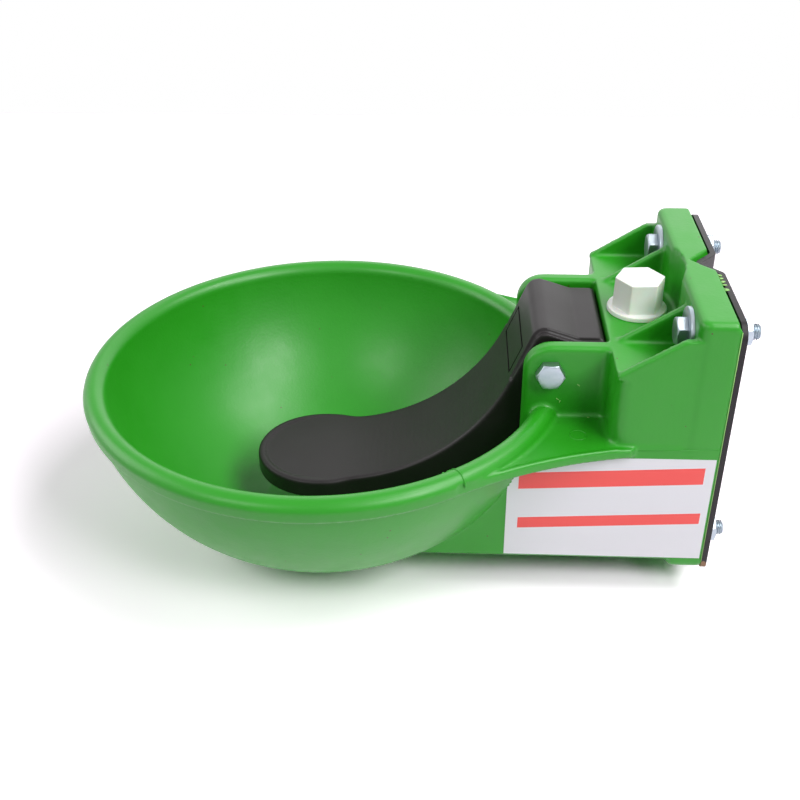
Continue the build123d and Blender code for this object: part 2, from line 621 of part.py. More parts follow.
def valve_spring():
    """Compression spring between the disc and the retainer."""
    low = DISC_FACE + DISC_THICKNESS + SPRING_WIRE
    high = RETAINER_FACE - SPRING_WIRE
    mean_radius = SPRING_RADIUS - SPRING_WIRE / 2
    path = Helix(pitch=(high - low) / SPRING_TURNS, height=high - low, radius=mean_radius)
    wire = Plane(origin=path @ 0, z_dir=path % 0) * Circle(SPRING_WIRE / 2)
    coil = sweep(wire, path=path, is_frenet=True)
    return Pos(0, low, VALVE_HEIGHT) * Rot(-90, 0, 0) * coil


def spring_retainer():
    """Threaded ring that closes the tail and carries the spring."""
    radius = VALVE_BORE_RADIUS - THREAD_CLEARANCE
    ring = valve_rod(radius, RETAINER_FACE, VALVE_TAIL_END)
    return ring - valve_rod(RETAINER_HOLE_RADIUS, RETAINER_FACE, VALVE_TAIL_END)


# ---- pivot ----

def pivot_bolt():
    return Pos(EAR_OUTER, -PIVOT_SETBACK, PIVOT_HEIGHT) * Rot(0, -90, 0) * hex_bolt(PIVOT_BOLT_LENGTH)


def pivot_lock_nut():
    """Self-locking nut outside the far ear."""
    nut = hex_nut(LOCK_NUT_HEIGHT)
    return Pos(-EAR_OUTER, -PIVOT_SETBACK, PIVOT_HEIGHT) * Rot(0, -90, 0) * nut


def pivot_sleeve():
    """Steel tube that keeps the ears apart when the bolt is tight."""
    tube = rod_x(SLEEVE_RADIUS, -HALF_GAP, HALF_GAP, -PIVOT_SETBACK, PIVOT_HEIGHT)
    return tube - rod_x(SLEEVE_BORE, -HALF_GAP, HALF_GAP, -PIVOT_SETBACK, PIVOT_HEIGHT)


# ---- tongue ----

def tongue_face(inset):
    """Ends of the steep front face in Y and Z: at the ridge, and where the neck's curve takes over."""
    angle = math.radians(TONGUE_FACE_ANGLE)
    radius = TONGUE_CURVE_RADIUS + inset
    low_y = radius * math.sin(angle) - TONGUE_CURVE_END
    low_z = TONGUE_PADDLE_HEIGHT + TONGUE_CURVE_RADIUS - radius * math.cos(angle)
    ridge_z = TONGUE_RIDGE_HEIGHT - inset
    return (low_y + (ridge_z - low_z) / math.tan(angle), ridge_z), (low_y, low_z)


def tongue_top_line(inset):
    """Edges of the tongue's upper surface from hood to tip, moved inward by the inset, with its ends."""
    ridge, face_low = tongue_face(inset)
    hood = TONGUE_HOOD_HEIGHT - inset
    hood_back = (-HOUSING_FRONT - TONGUE_WALL_GAP - inset, hood)
    hood_step = (-TONGUE_HOOD_STEP, hood)
    flat = TONGUE_PADDLE_HEIGHT - inset
    flat_start = (-TONGUE_CURVE_END, flat)
    tip = (-TONGUE_TIP - TONGUE_WALL, flat)
    edges = [
        Line(hood_back, hood_step),
        Line(hood_step, ridge),
        Line(ridge, face_low),
        RadiusArc(face_low, flat_start, TONGUE_CURVE_RADIUS + inset),
        Line(flat_start, tip),
    ]
    return edges, hood_back, tip


def tongue_side():
    """Side view of the tongue as a solid outline, with the lower edge of its skirts."""
    edges, back, tip = tongue_top_line(0)
    spoon_under = tip[1] - TONGUE_SPOON_DEPTH
    edges.append(
        Polyline(
            tip,
            (tip[0], spoon_under),
            (-TONGUE_SPOON_START, spoon_under),
            (-EAR_FRONT - TONGUE_NECK_DEPTH, spoon_under + TONGUE_SPOON_DEPTH),
            (-PIVOT_SETBACK, VALVE_HEIGHT - TONGUE_NECK_DEPTH / 2),
            (back[0] - TONGUE_WALL, PIVOT_HEIGHT - VALVE_NOSE_RADIUS),
            back,
        )
    )
    return edges


def tongue_under():
    """Side view of the hollow below the tongue's skin, open downward and to the back."""
    edges, back, tip = tongue_top_line(TONGUE_WALL)
    low = TONGUE_PADDLE_HEIGHT - OVER
    edges.append(Polyline(tip, (tip[0], low), (back[0] + OVER, low), (back[0] + OVER, back[1]), back))
    return edges


def tongue_bar(outline, inset):
    """Side view turned into a bar as wide as the spoon, with the ridge and the hood's bend rounded."""
    face = make_face(outline)
    ridge = face.vertices().sort_by(Axis.Y)[-1]
    face = fillet(ridge, TONGUE_RIDGE_RADIUS - inset)
    hood_step = (-TONGUE_HOOD_STEP, TONGUE_HOOD_HEIGHT - inset, 0)
    bend = face.vertices().sort_by_distance(hood_step)[0]
    face = fillet(bend, TONGUE_RIDGE_RADIUS + inset)
    half = TONGUE_SPOON_WIDTH / 2
    return Pos(-half, 0, 0) * extrude(Plane.YZ * face, 2 * half)


def tongue_plan(inset):
    """Plan view of the tongue: straight neck, then a wider spoon with a round tip."""
    neck = TONGUE_NECK_WIDTH / 2 - inset
    spoon = TONGUE_SPOON_WIDTH / 2 - inset
    start = -TONGUE_SPOON_START
    shoulder = start - TONGUE_FLARE_LENGTH
    middle = (start + shoulder) / 2
    tip = inset - TONGUE_TIP
    side_end = tip + TONGUE_TIP_ROUND - inset
    full_y = side_end + TONGUE_TIP_FULLNESS * (tip - side_end)
    back = -HOUSING_FRONT - TONGUE_WALL_GAP
    edges = [Line((-neck, back), (neck, back))]
    for side in (1, -1):
        neck_x, spoon_x = side * neck, side * spoon
        edges += [
            Line((neck_x, back), (neck_x, start)),
            Bezier((neck_x, start), (neck_x, middle), (spoon_x, middle), (spoon_x, shoulder)),
            Line((spoon_x, shoulder), (spoon_x, side_end)),
            Bezier((spoon_x, side_end), (spoon_x, full_y), (spoon_x * TONGUE_TIP_FULLNESS, tip), (0, tip)),
        ]
    return edges


def is_crosswise(edge):
    """True for an edge that runs straight across the tongue."""
    span = edge @ 1 - edge @ 0
    return abs(span.X) > abs(span.Y) + abs(span.Z) and edge.geom_type == GeomType.LINE


def tongue_skin():
    """The tongue with no hollow, its upper rim rounded."""
    bar = tongue_bar(tongue_side(), 0)
    skin = bar & from_top(tongue_plan(0), TONGUE_PADDLE_HEIGHT - OVER, TONGUE_RIDGE_HEIGHT + OVER)
    upper = [face for face in skin.faces() if face.normal_at().Z > TONGUE_TOP_TILT]
    rim = [edge for face in upper for edge in face.edges() if not is_crosswise(edge)]
    return fillet(rim, TONGUE_EDGE_RADIUS)


def tongue_panel():
    """Cutter for the shallow rectangular recess in the steep front face."""
    ridge, face_low = tongue_face(0)
    down = Vector(face_low[0] - ridge[0], face_low[1] - ridge[1]).normalized()
    inward = Vector(-down.Y, down.X)
    top = Vector(*ridge) + down * TONGUE_PANEL_DROP
    bottom = top + down * TONGUE_PANEL_LENGTH
    corners = [
        top + inward * TONGUE_PANEL_DEPTH, bottom + inward * TONGUE_PANEL_DEPTH,
        bottom - inward * TONGUE_WALL, top - inward * TONGUE_WALL,
    ]
    outline = polygon(*[(corner.X, corner.Y) for corner in corners])
    return from_side(outline, -TONGUE_PANEL_WIDTH / 2, TONGUE_PANEL_WIDTH / 2)


def spoon_dish():
    """Cutter for the shallow dish in the spoon, which leaves a raised lip round its tip."""
    floor = TONGUE_PADDLE_HEIGHT - TONGUE_LIP_HEIGHT
    above = TONGUE_PADDLE_HEIGHT + OVER
    ramp = polygon(
        (-TONGUE_TIP, floor), (-TONGUE_CURVE_END, TONGUE_PADDLE_HEIGHT),
        (-TONGUE_CURVE_END, above), (-TONGUE_TIP, above),
    )
    half = TONGUE_SPOON_WIDTH / 2
    return from_side(ramp, -half, half) & from_top(tongue_plan(TONGUE_LIP), floor, above)


def tongue_barrel():
    """Tube across the hood that turns on the pivot sleeve."""
    neck = TONGUE_NECK_WIDTH / 2
    return rod_x(BARREL_BORE + BARREL_WALL, -neck, neck, -PIVOT_SETBACK, PIVOT_HEIGHT)


def tongue_ribs():
    """Pad that meets the valve's button, and the rib along the middle that backs it up."""
    pad_face = STEM_TIP - TONGUE_STEM_GAP
    front = -TONGUE_CURVE_END
    pad = block(
        -TONGUE_PAD_HALF, TONGUE_PAD_HALF, front, pad_face,
        VALVE_HEIGHT - TONGUE_PAD_HALF, VALVE_HEIGHT + TONGUE_PAD_HALF,
    )
    rib = block(
        -TONGUE_WALL / 2, TONGUE_WALL / 2, front, pad_face,
        VALVE_HEIGHT - 2 * TONGUE_PAD_HALF, PIVOT_HEIGHT,
    )
    return pad + rib


def tongue():
    """Black moulded lever: hood, steep face, curved neck and spoon, hollow underneath."""
    low, high = TONGUE_PADDLE_HEIGHT - OVER, TONGUE_RIDGE_HEIGHT + OVER
    under = tongue_bar(tongue_under(), TONGUE_WALL) & from_top(tongue_plan(TONGUE_WALL), low, high)
    stiffening = (tongue_barrel() + tongue_ribs()) & tongue_bar(tongue_side(), 0)
    body = tongue_skin() - under + stiffening - tongue_panel() - spoon_dish()
    half = TONGUE_SPOON_WIDTH / 2
    return body - rod_x(BARREL_BORE, -half, half, -PIVOT_SETBACK, PIVOT_HEIGHT)


def instruction_label():
    """Thin printed sheet on the near side wall, trimmed where the bowl's side comes out of the wall."""
    top = SKIRT_BOTTOM + LABEL_BOTTOM_MARGIN + LABEL_HEIGHT
    back = -LABEL_BACK_MARGIN
    sheet = block(
        HALF_FLANGE, HALF_FLANGE + LABEL_THICKNESS, back - LABEL_LENGTH, back, top - LABEL_HEIGHT, top
    )
    return sheet - bowl_outside()


PARTS = [
    bowl_housing, mounting_plate, fender_washers, spring_washers, mounting_bolts, mounting_nuts,
    top_inlet_bushing, bottom_inlet_bushing, plug_seal, blind_plug, valve_body, valve_gasket,
    valve_stem, valve_disc_seal, valve_spring, spring_retainer, pivot_bolt, pivot_lock_nut,
    pivot_sleeve, tongue, instruction_label,
]


def main():
    os.makedirs("parts", exist_ok=True)
    for make in PARTS:
        export_step(make(), f"parts/{make.__name__}.step")


if __name__ == "__main__":
    main()
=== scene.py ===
# %% [markdown]
# # A drinking bowl for livestock
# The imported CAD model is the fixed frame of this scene: it says where each piece is and how it moves.
# Every cell below either dresses a CAD piece with a finish or builds a better-looking piece in its place.
# All lengths are metres, so a length in millimetres is written as a number times MM.

# %% Load the frame
import math
import random

import bmesh
import bpy
import numpy as np
from mathutils import Matrix, Vector


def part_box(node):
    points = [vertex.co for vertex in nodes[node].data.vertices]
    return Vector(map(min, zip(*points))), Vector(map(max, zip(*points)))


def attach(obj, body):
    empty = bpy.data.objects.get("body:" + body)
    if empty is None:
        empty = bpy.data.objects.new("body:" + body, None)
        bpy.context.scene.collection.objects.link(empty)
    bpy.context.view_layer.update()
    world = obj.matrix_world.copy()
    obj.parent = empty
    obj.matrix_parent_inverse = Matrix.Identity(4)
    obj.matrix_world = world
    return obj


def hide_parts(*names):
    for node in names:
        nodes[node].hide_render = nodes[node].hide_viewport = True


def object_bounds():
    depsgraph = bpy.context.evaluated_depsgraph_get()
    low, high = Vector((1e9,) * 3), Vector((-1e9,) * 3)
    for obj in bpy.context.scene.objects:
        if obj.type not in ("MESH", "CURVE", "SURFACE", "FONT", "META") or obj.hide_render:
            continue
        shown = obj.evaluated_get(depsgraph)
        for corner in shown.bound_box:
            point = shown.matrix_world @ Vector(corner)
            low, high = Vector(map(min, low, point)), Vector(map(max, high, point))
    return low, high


MM = 0.001
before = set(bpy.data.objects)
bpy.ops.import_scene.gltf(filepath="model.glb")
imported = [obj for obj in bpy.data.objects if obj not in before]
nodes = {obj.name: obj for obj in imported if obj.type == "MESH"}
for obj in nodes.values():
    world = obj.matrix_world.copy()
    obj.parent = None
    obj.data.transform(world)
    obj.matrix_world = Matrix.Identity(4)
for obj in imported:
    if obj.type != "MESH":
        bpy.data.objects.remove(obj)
cad_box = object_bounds()

# %% [markdown]
# ## Colours and nodes
# Paint charts and colour pickers give sRGB values, but Blender's sockets take linear ones, so one
# function turns a hex value into the linear colour. Shader trees are built from nodes and links. One
# small function adds a node together with its settings and what feeds it, which keeps each material
# readable as a list of layers.

# %% Two helpers for every material
def linear(hex_value):
    """An sRGB hex value as a linear colour with full alpha."""
    channels = [int(hex_value[place:place + 2], 16) / 255 for place in (1, 3, 5)]
    return tuple(c / 12.92 if c <= 0.04045 else ((c + 0.055) / 1.055) ** 2.4 for c in channels) + (1.0,)


def add(tree, kind, settings=None, links=None):
    """Add a shader node. Settings are its options or input values, links join inputs to outputs."""
    made = tree.nodes.new("ShaderNode" + kind)
    for name, value in (settings or {}).items():
        if isinstance(name, int) or name in made.inputs:
            made.inputs[name].default_value = value
        else:
            setattr(made, name, value)
    for name, source in (links or {}).items():
        tree.links.new(made.inputs[name], source)
    return made


def start_material(name, surface):
    """An empty material with a Principled surface; returns the material, its tree and the shader."""
    made = bpy.data.materials.new(name)
    made.use_nodes = True
    tree = made.node_tree
    tree.nodes.clear()
    shader = add(tree, "BsdfPrincipled", surface)
    add(tree, "OutputMaterial", links={"Surface": shader.outputs["BSDF"]})
    made.diffuse_color = surface["Base Color"]
    return made, tree, shader


def wire(material, shader, sources):
    """Feed inputs of the material's surface from outputs of its nodes."""
    for name, source in sources.items():
        material.node_tree.links.new(shader.inputs[name], source)
    print(material.name, len(material.node_tree.nodes), "nodes")


print("pure white is", linear("#FFFFFF")[:3])

# %% [markdown]
# ## Camera
# The bowl is seen from its right side, a hair from behind, looking down about a third of a right
# angle. The lens is a normal 49 mm one on a 36 mm sensor, about 60 cm from the middle of the object.

# %% Camera
OBJECT_MIDDLE = Vector((0, -0.17, 0))
CAMERA_PLACE = Vector((512.1, -134.2, 315.3)) * MM
CAMERA_AZIMUTH = math.radians(93.01)
CAMERA_ELEVATION = math.radians(32.66)
CAMERA_ROLL = math.radians(-0.54)
CAMERA_LENS = 49.05
CAMERA_SENSOR = 36.0


def camera_axes(azimuth, elevation, roll):
    """The camera's right, up and back directions as the columns of a rotation."""
    level = math.cos(elevation)
    back = Vector((math.sin(azimuth) * level, -math.cos(azimuth) * level, math.sin(elevation)))
    right = (-back).cross(Vector((0, 0, 1))).normalized()
    up = right.cross(-back)
    tilted_right = right * math.cos(roll) + up * math.sin(roll)
    tilted_up = up * math.cos(roll) - right * math.sin(roll)
    return Matrix((tilted_right, tilted_up, back)).transposed()


camera_data = bpy.data.cameras.new("camera")
camera_data.lens = CAMERA_LENS
camera_data.sensor_width = CAMERA_SENSOR
camera = bpy.data.objects.new("camera", camera_data)
camera.matrix_world = Matrix.Translation(CAMERA_PLACE) @ camera_axes(
    CAMERA_AZIMUTH, CAMERA_ELEVATION, CAMERA_ROLL
).to_4x4()
bpy.context.scene.collection.objects.link(camera)
bpy.context.scene.camera = camera
bpy.context.scene.view_settings.view_transform = "Standard"
print("camera is", round((CAMERA_PLACE - OBJECT_MIDDLE).length, 3), "m from the middle")

# %% [markdown]
# ## Floor, backdrop and light
# The object stands on white paper. A soft box high behind it and one to the right light the top and
# the near wall, a small one at the front right picks out the edges, a wide panel on the far side
# gives upward faces their grey sheen, and a low panel in front of the bowl lights its round side. The
# paper and the backdrop are brighter to the lens, and in the reflections that it sees, than they are
# as light on the object. So they read as pure white, metal and glossy plastic mirror them, and the
# soft shadow stays on the paper.

# %% Floor and lights
FLOOR_SIZE = 1.45
FLOOR_TONE = (0.80, 0.80, 0.80, 1.0)
FLOOR_TONE_TO_LENS = (1.38, 1.29, 1.38, 1.0)
FILL_STRENGTH = 0.02
SOFT_BOXES = {
    "key_from_behind": {"place": (0.10, 0.60, 1.15), "size": 0.7, "power": 12.0},
    "right_soft_box": {"place": (0.72, 0.55, 0.85), "size": 0.5, "power": 9.5},
    "front_right_spot": {"place": (0.75, -0.80, 0.85), "size": 0.35, "power": 3.2},
    "far_panel": {"place": (-1.35, 0.05, 0.70), "size": 1.5, "power": 6.5},
    "front_panel": {"place": (-0.20, -1.30, 0.60), "size": 0.8, "power": 6.3},
}


def seen_rays(tree):
    """1 for what the lens sees straight, mirrored or through a clear body, and 0 for scattered light."""
    rays = add(tree, "LightPath")
    mirrored = add(tree, "Math", {"operation": "MAXIMUM"})
    tree.links.new(mirrored.inputs[0], rays.outputs["Is Glossy Ray"])
    tree.links.new(mirrored.inputs[1], rays.outputs["Is Transmission Ray"])
    seen = add(tree, "Math", {"operation": "MAXIMUM"})
    tree.links.new(seen.inputs[0], rays.outputs["Is Camera Ray"])
    tree.links.new(seen.inputs[1], mirrored.outputs[0])
    return seen.outputs[0]


paper, tree, shader = start_material("white_paper", {
    "Base Color": FLOOR_TONE, "Roughness": 0.9, "Specular IOR Level": 0.0,
})
tone = add(tree, "MixRGB", {"Color1": FLOOR_TONE, "Color2": FLOOR_TONE_TO_LENS}, {"Fac": seen_rays(tree)})
wire(paper, shader, {"Base Color": tone.outputs["Color"]})

bpy.ops.mesh.primitive_plane_add(size=FLOOR_SIZE, location=(0, 0, cad_box[0][2]))
floor = bpy.context.object
floor.name = "paper_floor"
floor.data.materials.append(paper)

world = bpy.data.worlds.new("studio")
bpy.context.scene.world = world
world.use_nodes = True
tree = world.node_tree
tree.nodes.clear()
fill = add(tree, "Background", {"Color": (1, 1, 1, 1), "Strength": FILL_STRENGTH})
backdrop = add(tree, "Background", {"Color": (1, 1, 1, 1), "Strength": 1.0})
shown = add(tree, "MixShader", links={"Fac": seen_rays(tree)})
tree.links.new(shown.inputs[1], fill.outputs[0])
tree.links.new(shown.inputs[2], backdrop.outputs[0])
add(tree, "OutputWorld", links={"Surface": shown.outputs[0]})

for name, box in SOFT_BOXES.items():
    lamp_data = bpy.data.lights.new(name, "AREA")
    lamp_data.size = box["size"]
    lamp_data.energy = box["power"]
    lamp = bpy.data.objects.new(name, lamp_data)
    lamp.location = box["place"]
    aim = OBJECT_MIDDLE - Vector(box["place"])
    lamp.rotation_euler = aim.to_track_quat("-Z", "Y").to_euler()
    bpy.context.scene.collection.objects.link(lamp)
    print(name, round(aim.length, 2), "m away")

# %% [markdown]
# ## Green polypropylene, injection moulded
# Farm bowls are moulded from polypropylene coloured in the mass. It is a waxy, semi-gloss plastic: the
# eye sees one colour with faint clouds where the melt flowed, a fine orange-peel skin from the mould's
# surface, and a few dark grains of burnt plastic or dust. The peel is drawn about twice as coarse as
# the real one, so that it still shows from a step away.

# %% Green polypropylene
POLYPROPYLENE_IOR = 1.49
GREEN = "#1F8D10"
GREEN_CLOUD = "#28971A"
GREEN_GRAIN = "#4A3A1C"
FLOW_CLOUD = 42 * MM
PEEL = 1.7 * MM
PEEL_HEIGHT = 0.05 * MM
WAVINESS = 14 * MM
WAVINESS_HEIGHT = 0.10 * MM
GRAIN_SPACING = 13 * MM
GRAIN_SHARE = 0.034

green_polypropylene, tree, shader = start_material("green_polypropylene", {
    "Base Color": linear(GREEN), "Roughness": 0.36, "IOR": POLYPROPYLENE_IOR,
})
place = add(tree, "TexCoord").outputs["Object"]
cloud = add(tree, "TexNoise", {"Scale": 1 / FLOW_CLOUD, "Detail": 3.0}, {"Vector": place})
tint = add(tree, "MixRGB", {"Color1": linear(GREEN), "Color2": linear(GREEN_CLOUD)}, {
    "Fac": cloud.outputs["Fac"],
})
grain_cell = add(tree, "TexVoronoi", {"Scale": 1 / GRAIN_SPACING}, {"Vector": place})
grain = add(tree, "Math", {"operation": "LESS_THAN", 1: GRAIN_SHARE}, {0: grain_cell.outputs["Distance"]})
speckled = add(tree, "MixRGB", {"Color2": linear(GREEN_GRAIN)}, {
    "Fac": grain.outputs[0], "Color1": tint.outputs[0],
})
gloss = add(tree, "TexNoise", {"Scale": 1 / WAVINESS, "Detail": 4.0}, {"Vector": place})
rough = add(tree, "MapRange", {"To Min": 0.30, "To Max": 0.46}, {"Value": gloss.outputs["Fac"]})
peel = add(tree, "TexNoise", {"Scale": 1 / PEEL, "Detail": 2.0}, {"Vector": place})
peel_bump = add(tree, "Bump", {"Strength": 1.0, "Distance": PEEL_HEIGHT}, {"Height": peel.outputs["Fac"]})
wave_bump = add(tree, "Bump", {"Strength": 1.0, "Distance": WAVINESS_HEIGHT}, {
    "Height": gloss.outputs["Fac"], "Normal": peel_bump.outputs[0],
})
wire(green_polypropylene, shader, {
    "Base Color": speckled.outputs[0], "Roughness": rough.outputs[0], "Normal": wave_bump.outputs[0],
})

# %% [markdown]
# ## Black polypropylene, injection moulded
# The tongue is moulded in black with a satin tool finish. Black plastic is never fully black: dust and
# scuffs leave it a warm dark grey, and its gloss is uneven where muzzles and hands have rubbed it.

# %% Black polypropylene
BLACK = "#130F11"
BLACK_SCUFFED = "#221D1F"
SCUFF = 22 * MM
SATIN_GRAIN = 1.2 * MM
SATIN_GRAIN_HEIGHT = 0.03 * MM

black_polypropylene, tree, shader = start_material("black_polypropylene", {
    "Base Color": linear(BLACK), "Roughness": 0.36, "IOR": POLYPROPYLENE_IOR, "Specular IOR Level": 0.3,
})
place = add(tree, "TexCoord").outputs["Object"]
scuff = add(tree, "TexNoise", {"Scale": 1 / SCUFF, "Detail": 5.0, "Roughness": 0.6}, {"Vector": place})
tint = add(tree, "MixRGB", {"Color1": linear(BLACK), "Color2": linear(BLACK_SCUFFED)}, {
    "Fac": scuff.outputs["Fac"],
})
rough = add(tree, "MapRange", {"To Min": 0.36, "To Max": 0.52}, {"Value": scuff.outputs["Fac"]})
satin = add(tree, "TexNoise", {"Scale": 1 / SATIN_GRAIN, "Detail": 3.0}, {"Vector": place})
bump = add(tree, "Bump", {"Strength": 1.0, "Distance": SATIN_GRAIN_HEIGHT}, {"Height": satin.outputs["Fac"]})
wire(black_polypropylene, shader, {
    "Base Color": tint.outputs[0], "Roughness": rough.outputs[0], "Normal": bump.outputs[0],
})

# %% [markdown]
# ## Zinc-plated steel
# Bolts, nuts and washers are cold-formed steel with a thin bright zinc coat, passivated in a bath that
# leaves a faint blue cast. The coat follows every forging mark, so the shine is broken into soft patches.

# %% Zinc-plated steel
ZINC = "#B1B8BD"
ZINC_BLUE = "#9BAAB6"
ZINC_PATCH = 3.5 * MM
FORGING_MARK = 1.4 * MM
FORGING_MARK_HEIGHT = 0.04 * MM

zinc_plated_steel, tree, shader = start_material("zinc_plated_steel", {
    "Base Color": linear(ZINC), "Metallic": 1.0, "Roughness": 0.26,
})
place = add(tree, "TexCoord").outputs["Object"]
patch = add(tree, "TexNoise", {"Scale": 1 / ZINC_PATCH, "Detail": 4.0}, {"Vector": place})
tint = add(tree, "MixRGB", {"Color1": linear(ZINC), "Color2": linear(ZINC_BLUE)}, {
    "Fac": patch.outputs["Fac"],
})
rough = add(tree, "MapRange", {"To Min": 0.26, "To Max": 0.46}, {"Value": patch.outputs["Fac"]})
marks = add(tree, "TexNoise", {"Scale": 1 / FORGING_MARK, "Detail": 2.0}, {"Vector": place})
bump = add(tree, "Bump", {"Strength": 1.0, "Distance": FORGING_MARK_HEIGHT}, {"Height": marks.outputs["Fac"]})
wire(zinc_plated_steel, shader, {
    "Base Color": tint.outputs[0], "Roughness": rough.outputs[0], "Normal": bump.outputs[0],
})

# %% [markdown]
# ## Black paint on sheet steel
# The plate is cut and bent from 3 mm sheet and then dipped or sprayed black. The paint has a satin
# skin with a soft orange peel, and it is knocked off at the lower near corner, where a spot of primer
# and bare brown steel shows.

# %% Black paint
PAINT = "#110E11"
PAINT_WORN = "#1D191C"
BARE_STEEL = "#8A6A50"
PAINT_PEEL = 1.5 * MM
PAINT_PEEL_HEIGHT = 0.05 * MM
WORN_CORNER = Vector((69, 0, -71.5)) * MM
WORN_REACH = 5.5 * MM
WORN_RAGGEDNESS = 2.5 * MM

black_painted_steel, tree, shader = start_material("black_painted_steel", {
    "Base Color": linear(PAINT), "Roughness": 0.42, "Specular IOR Level": 0.3,
})
place = add(tree, "TexCoord").outputs["Object"]
ragged = add(tree, "TexNoise", {"Scale": 1 / WORN_RAGGEDNESS, "Detail": 4.0}, {"Vector": place})
from_corner = add(tree, "VectorMath", {"operation": "DISTANCE", 1: WORN_CORNER}, {0: place})
ragged_reach = add(tree, "Math", {"operation": "MULTIPLY", 1: WORN_REACH * 2}, {0: ragged.outputs["Fac"]})
bare = add(tree, "Math", {"operation": "LESS_THAN"}, {0: from_corner.outputs["Value"]})
tree.links.new(bare.inputs[1], ragged_reach.outputs[0])
tint = add(tree, "MixRGB", {"Color1": linear(PAINT), "Color2": linear(PAINT_WORN)}, {
    "Fac": ragged.outputs["Fac"],
})
chipped = add(tree, "MixRGB", {"Color2": linear(BARE_STEEL)}, {
    "Fac": bare.outputs[0], "Color1": tint.outputs[0],
})
peel = add(tree, "TexNoise", {"Scale": 1 / PAINT_PEEL, "Detail": 2.0}, {"Vector": place})
bump = add(tree, "Bump", {"Strength": 1.0, "Distance": PAINT_PEEL_HEIGHT}, {"Height": peel.outputs["Fac"]})
wire(black_painted_steel, shader, {"Base Color": chipped.outputs[0], "Normal": bump.outputs[0]})

# %% [markdown]
# ## White nylon
# The blind plug is moulded in uncoloured nylon. It is slightly milky: a little light enters, scatters
# and comes out again, which softens the edges of its hexagon.

# %% White nylon
NYLON = "#EEF0EA"
NYLON_IOR = 1.53
NYLON_GLOW = 1.2 * MM
NYLON_GRAIN = 2.2 * MM
NYLON_GRAIN_HEIGHT = 0.04 * MM

white_nylon, tree, shader = start_material("white_nylon", {
    "Base Color": linear(NYLON), "Roughness": 0.34, "IOR": NYLON_IOR,
    "Subsurface Weight": 0.25, "Subsurface Scale": NYLON_GLOW,
})
place = add(tree, "TexCoord").outputs["Object"]
grain = add(tree, "TexNoise", {"Scale": 1 / NYLON_GRAIN, "Detail": 3.0}, {"Vector": place})
rough = add(tree, "MapRange", {"To Min": 0.28, "To Max": 0.42}, {"Value": grain.outputs["Fac"]})
bump = add(tree, "Bump", {"Strength": 1.0, "Distance": NYLON_GRAIN_HEIGHT}, {"Height": grain.outputs["Fac"]})
wire(white_nylon, shader, {"Roughness": rough.outputs[0], "Normal": bump.outputs[0]})

# %% [markdown]
# ## Turned brass, turned stainless steel and nitrile rubber
# The water parts are turned on a lathe. The tool leaves fine rings round the axis, drawn here as fine
# noise in the roughness. Seals are black nitrile rubber with a dull powdery skin.

# %% Brass, stainless steel and rubber
BRASS = "#C9A455"
BRASS_DULL = "#A98745"
STAINLESS = "#BDBCB8"
STAINLESS_DULL = "#9F9F9C"
NITRILE = "#1A1A1B"
TARNISH = 5 * MM
TURNING_MARK = 0.8 * MM
RUBBER_GRAIN = 0.9 * MM
RUBBER_GRAIN_HEIGHT = 0.05 * MM


def turned_metal(name, bright, dull, low_roughness, high_roughness):
    """A lathe-turned metal with tarnish and fine tool marks."""
    metal, tree, shader = start_material(name, {
        "Base Color": linear(bright), "Metallic": 1.0, "Roughness": low_roughness,
    })
    place = add(tree, "TexCoord").outputs["Object"]
    tarnish = add(tree, "TexNoise", {"Scale": 1 / TARNISH, "Detail": 4.0}, {"Vector": place})
    tint = add(tree, "MixRGB", {"Color1": linear(bright), "Color2": linear(dull)}, {
        "Fac": tarnish.outputs["Fac"],
    })
    marks = add(tree, "TexNoise", {"Scale": 1 / TURNING_MARK, "Detail": 1.0}, {"Vector": place})
    rough = add(tree, "MapRange", {"To Min": low_roughness, "To Max": high_roughness}, {
        "Value": marks.outputs["Fac"],
    })
    wire(metal, shader, {"Base Color": tint.outputs[0], "Roughness": rough.outputs[0]})
    return metal


turned_brass = turned_metal("turned_brass", BRASS, BRASS_DULL, 0.22, 0.38)
turned_stainless_steel = turned_metal("turned_stainless_steel", STAINLESS, STAINLESS_DULL, 0.20, 0.36)

nitrile_rubber, tree, shader = start_material("nitrile_rubber", {
    "Base Color": linear(NITRILE), "Roughness": 0.72, "IOR": 1.52,
})
place = add(tree, "TexCoord").outputs["Object"]
powder = add(tree, "TexNoise", {"Scale": 1 / RUBBER_GRAIN, "Detail": 3.0}, {"Vector": place})
bump = add(tree, "Bump", {"Strength": 1.0, "Distance": RUBBER_GRAIN_HEIGHT}, {
    "Height": powder.outputs["Fac"],
})
wire(nitrile_rubber, shader, {"Normal": bump.outputs[0]})

# %% [markdown]
# ## Printed vinyl
# The label is white vinyl film with two red bands and nothing else on it. It was stuck on by hand, so
# its print runs a little downhill towards the bowl. The bands are laid out in millimetres down from
# the film's upper edge and in from its ends.

# %% Printed vinyl
VINYL = "#E4E2EA"
BAND_RED = "#F4524F"
PRINT_TILT = 0.056
label_low, label_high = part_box("instruction_label")
BANDS = (
    {"top": 4.7 * MM, "bottom": 14.7 * MM, "back": 4.7 * MM, "front": 5.6 * MM},
    {"top": 33.1 * MM, "bottom": 39.9 * MM, "back": 3.4 * MM, "front": 6.2 * MM},
)

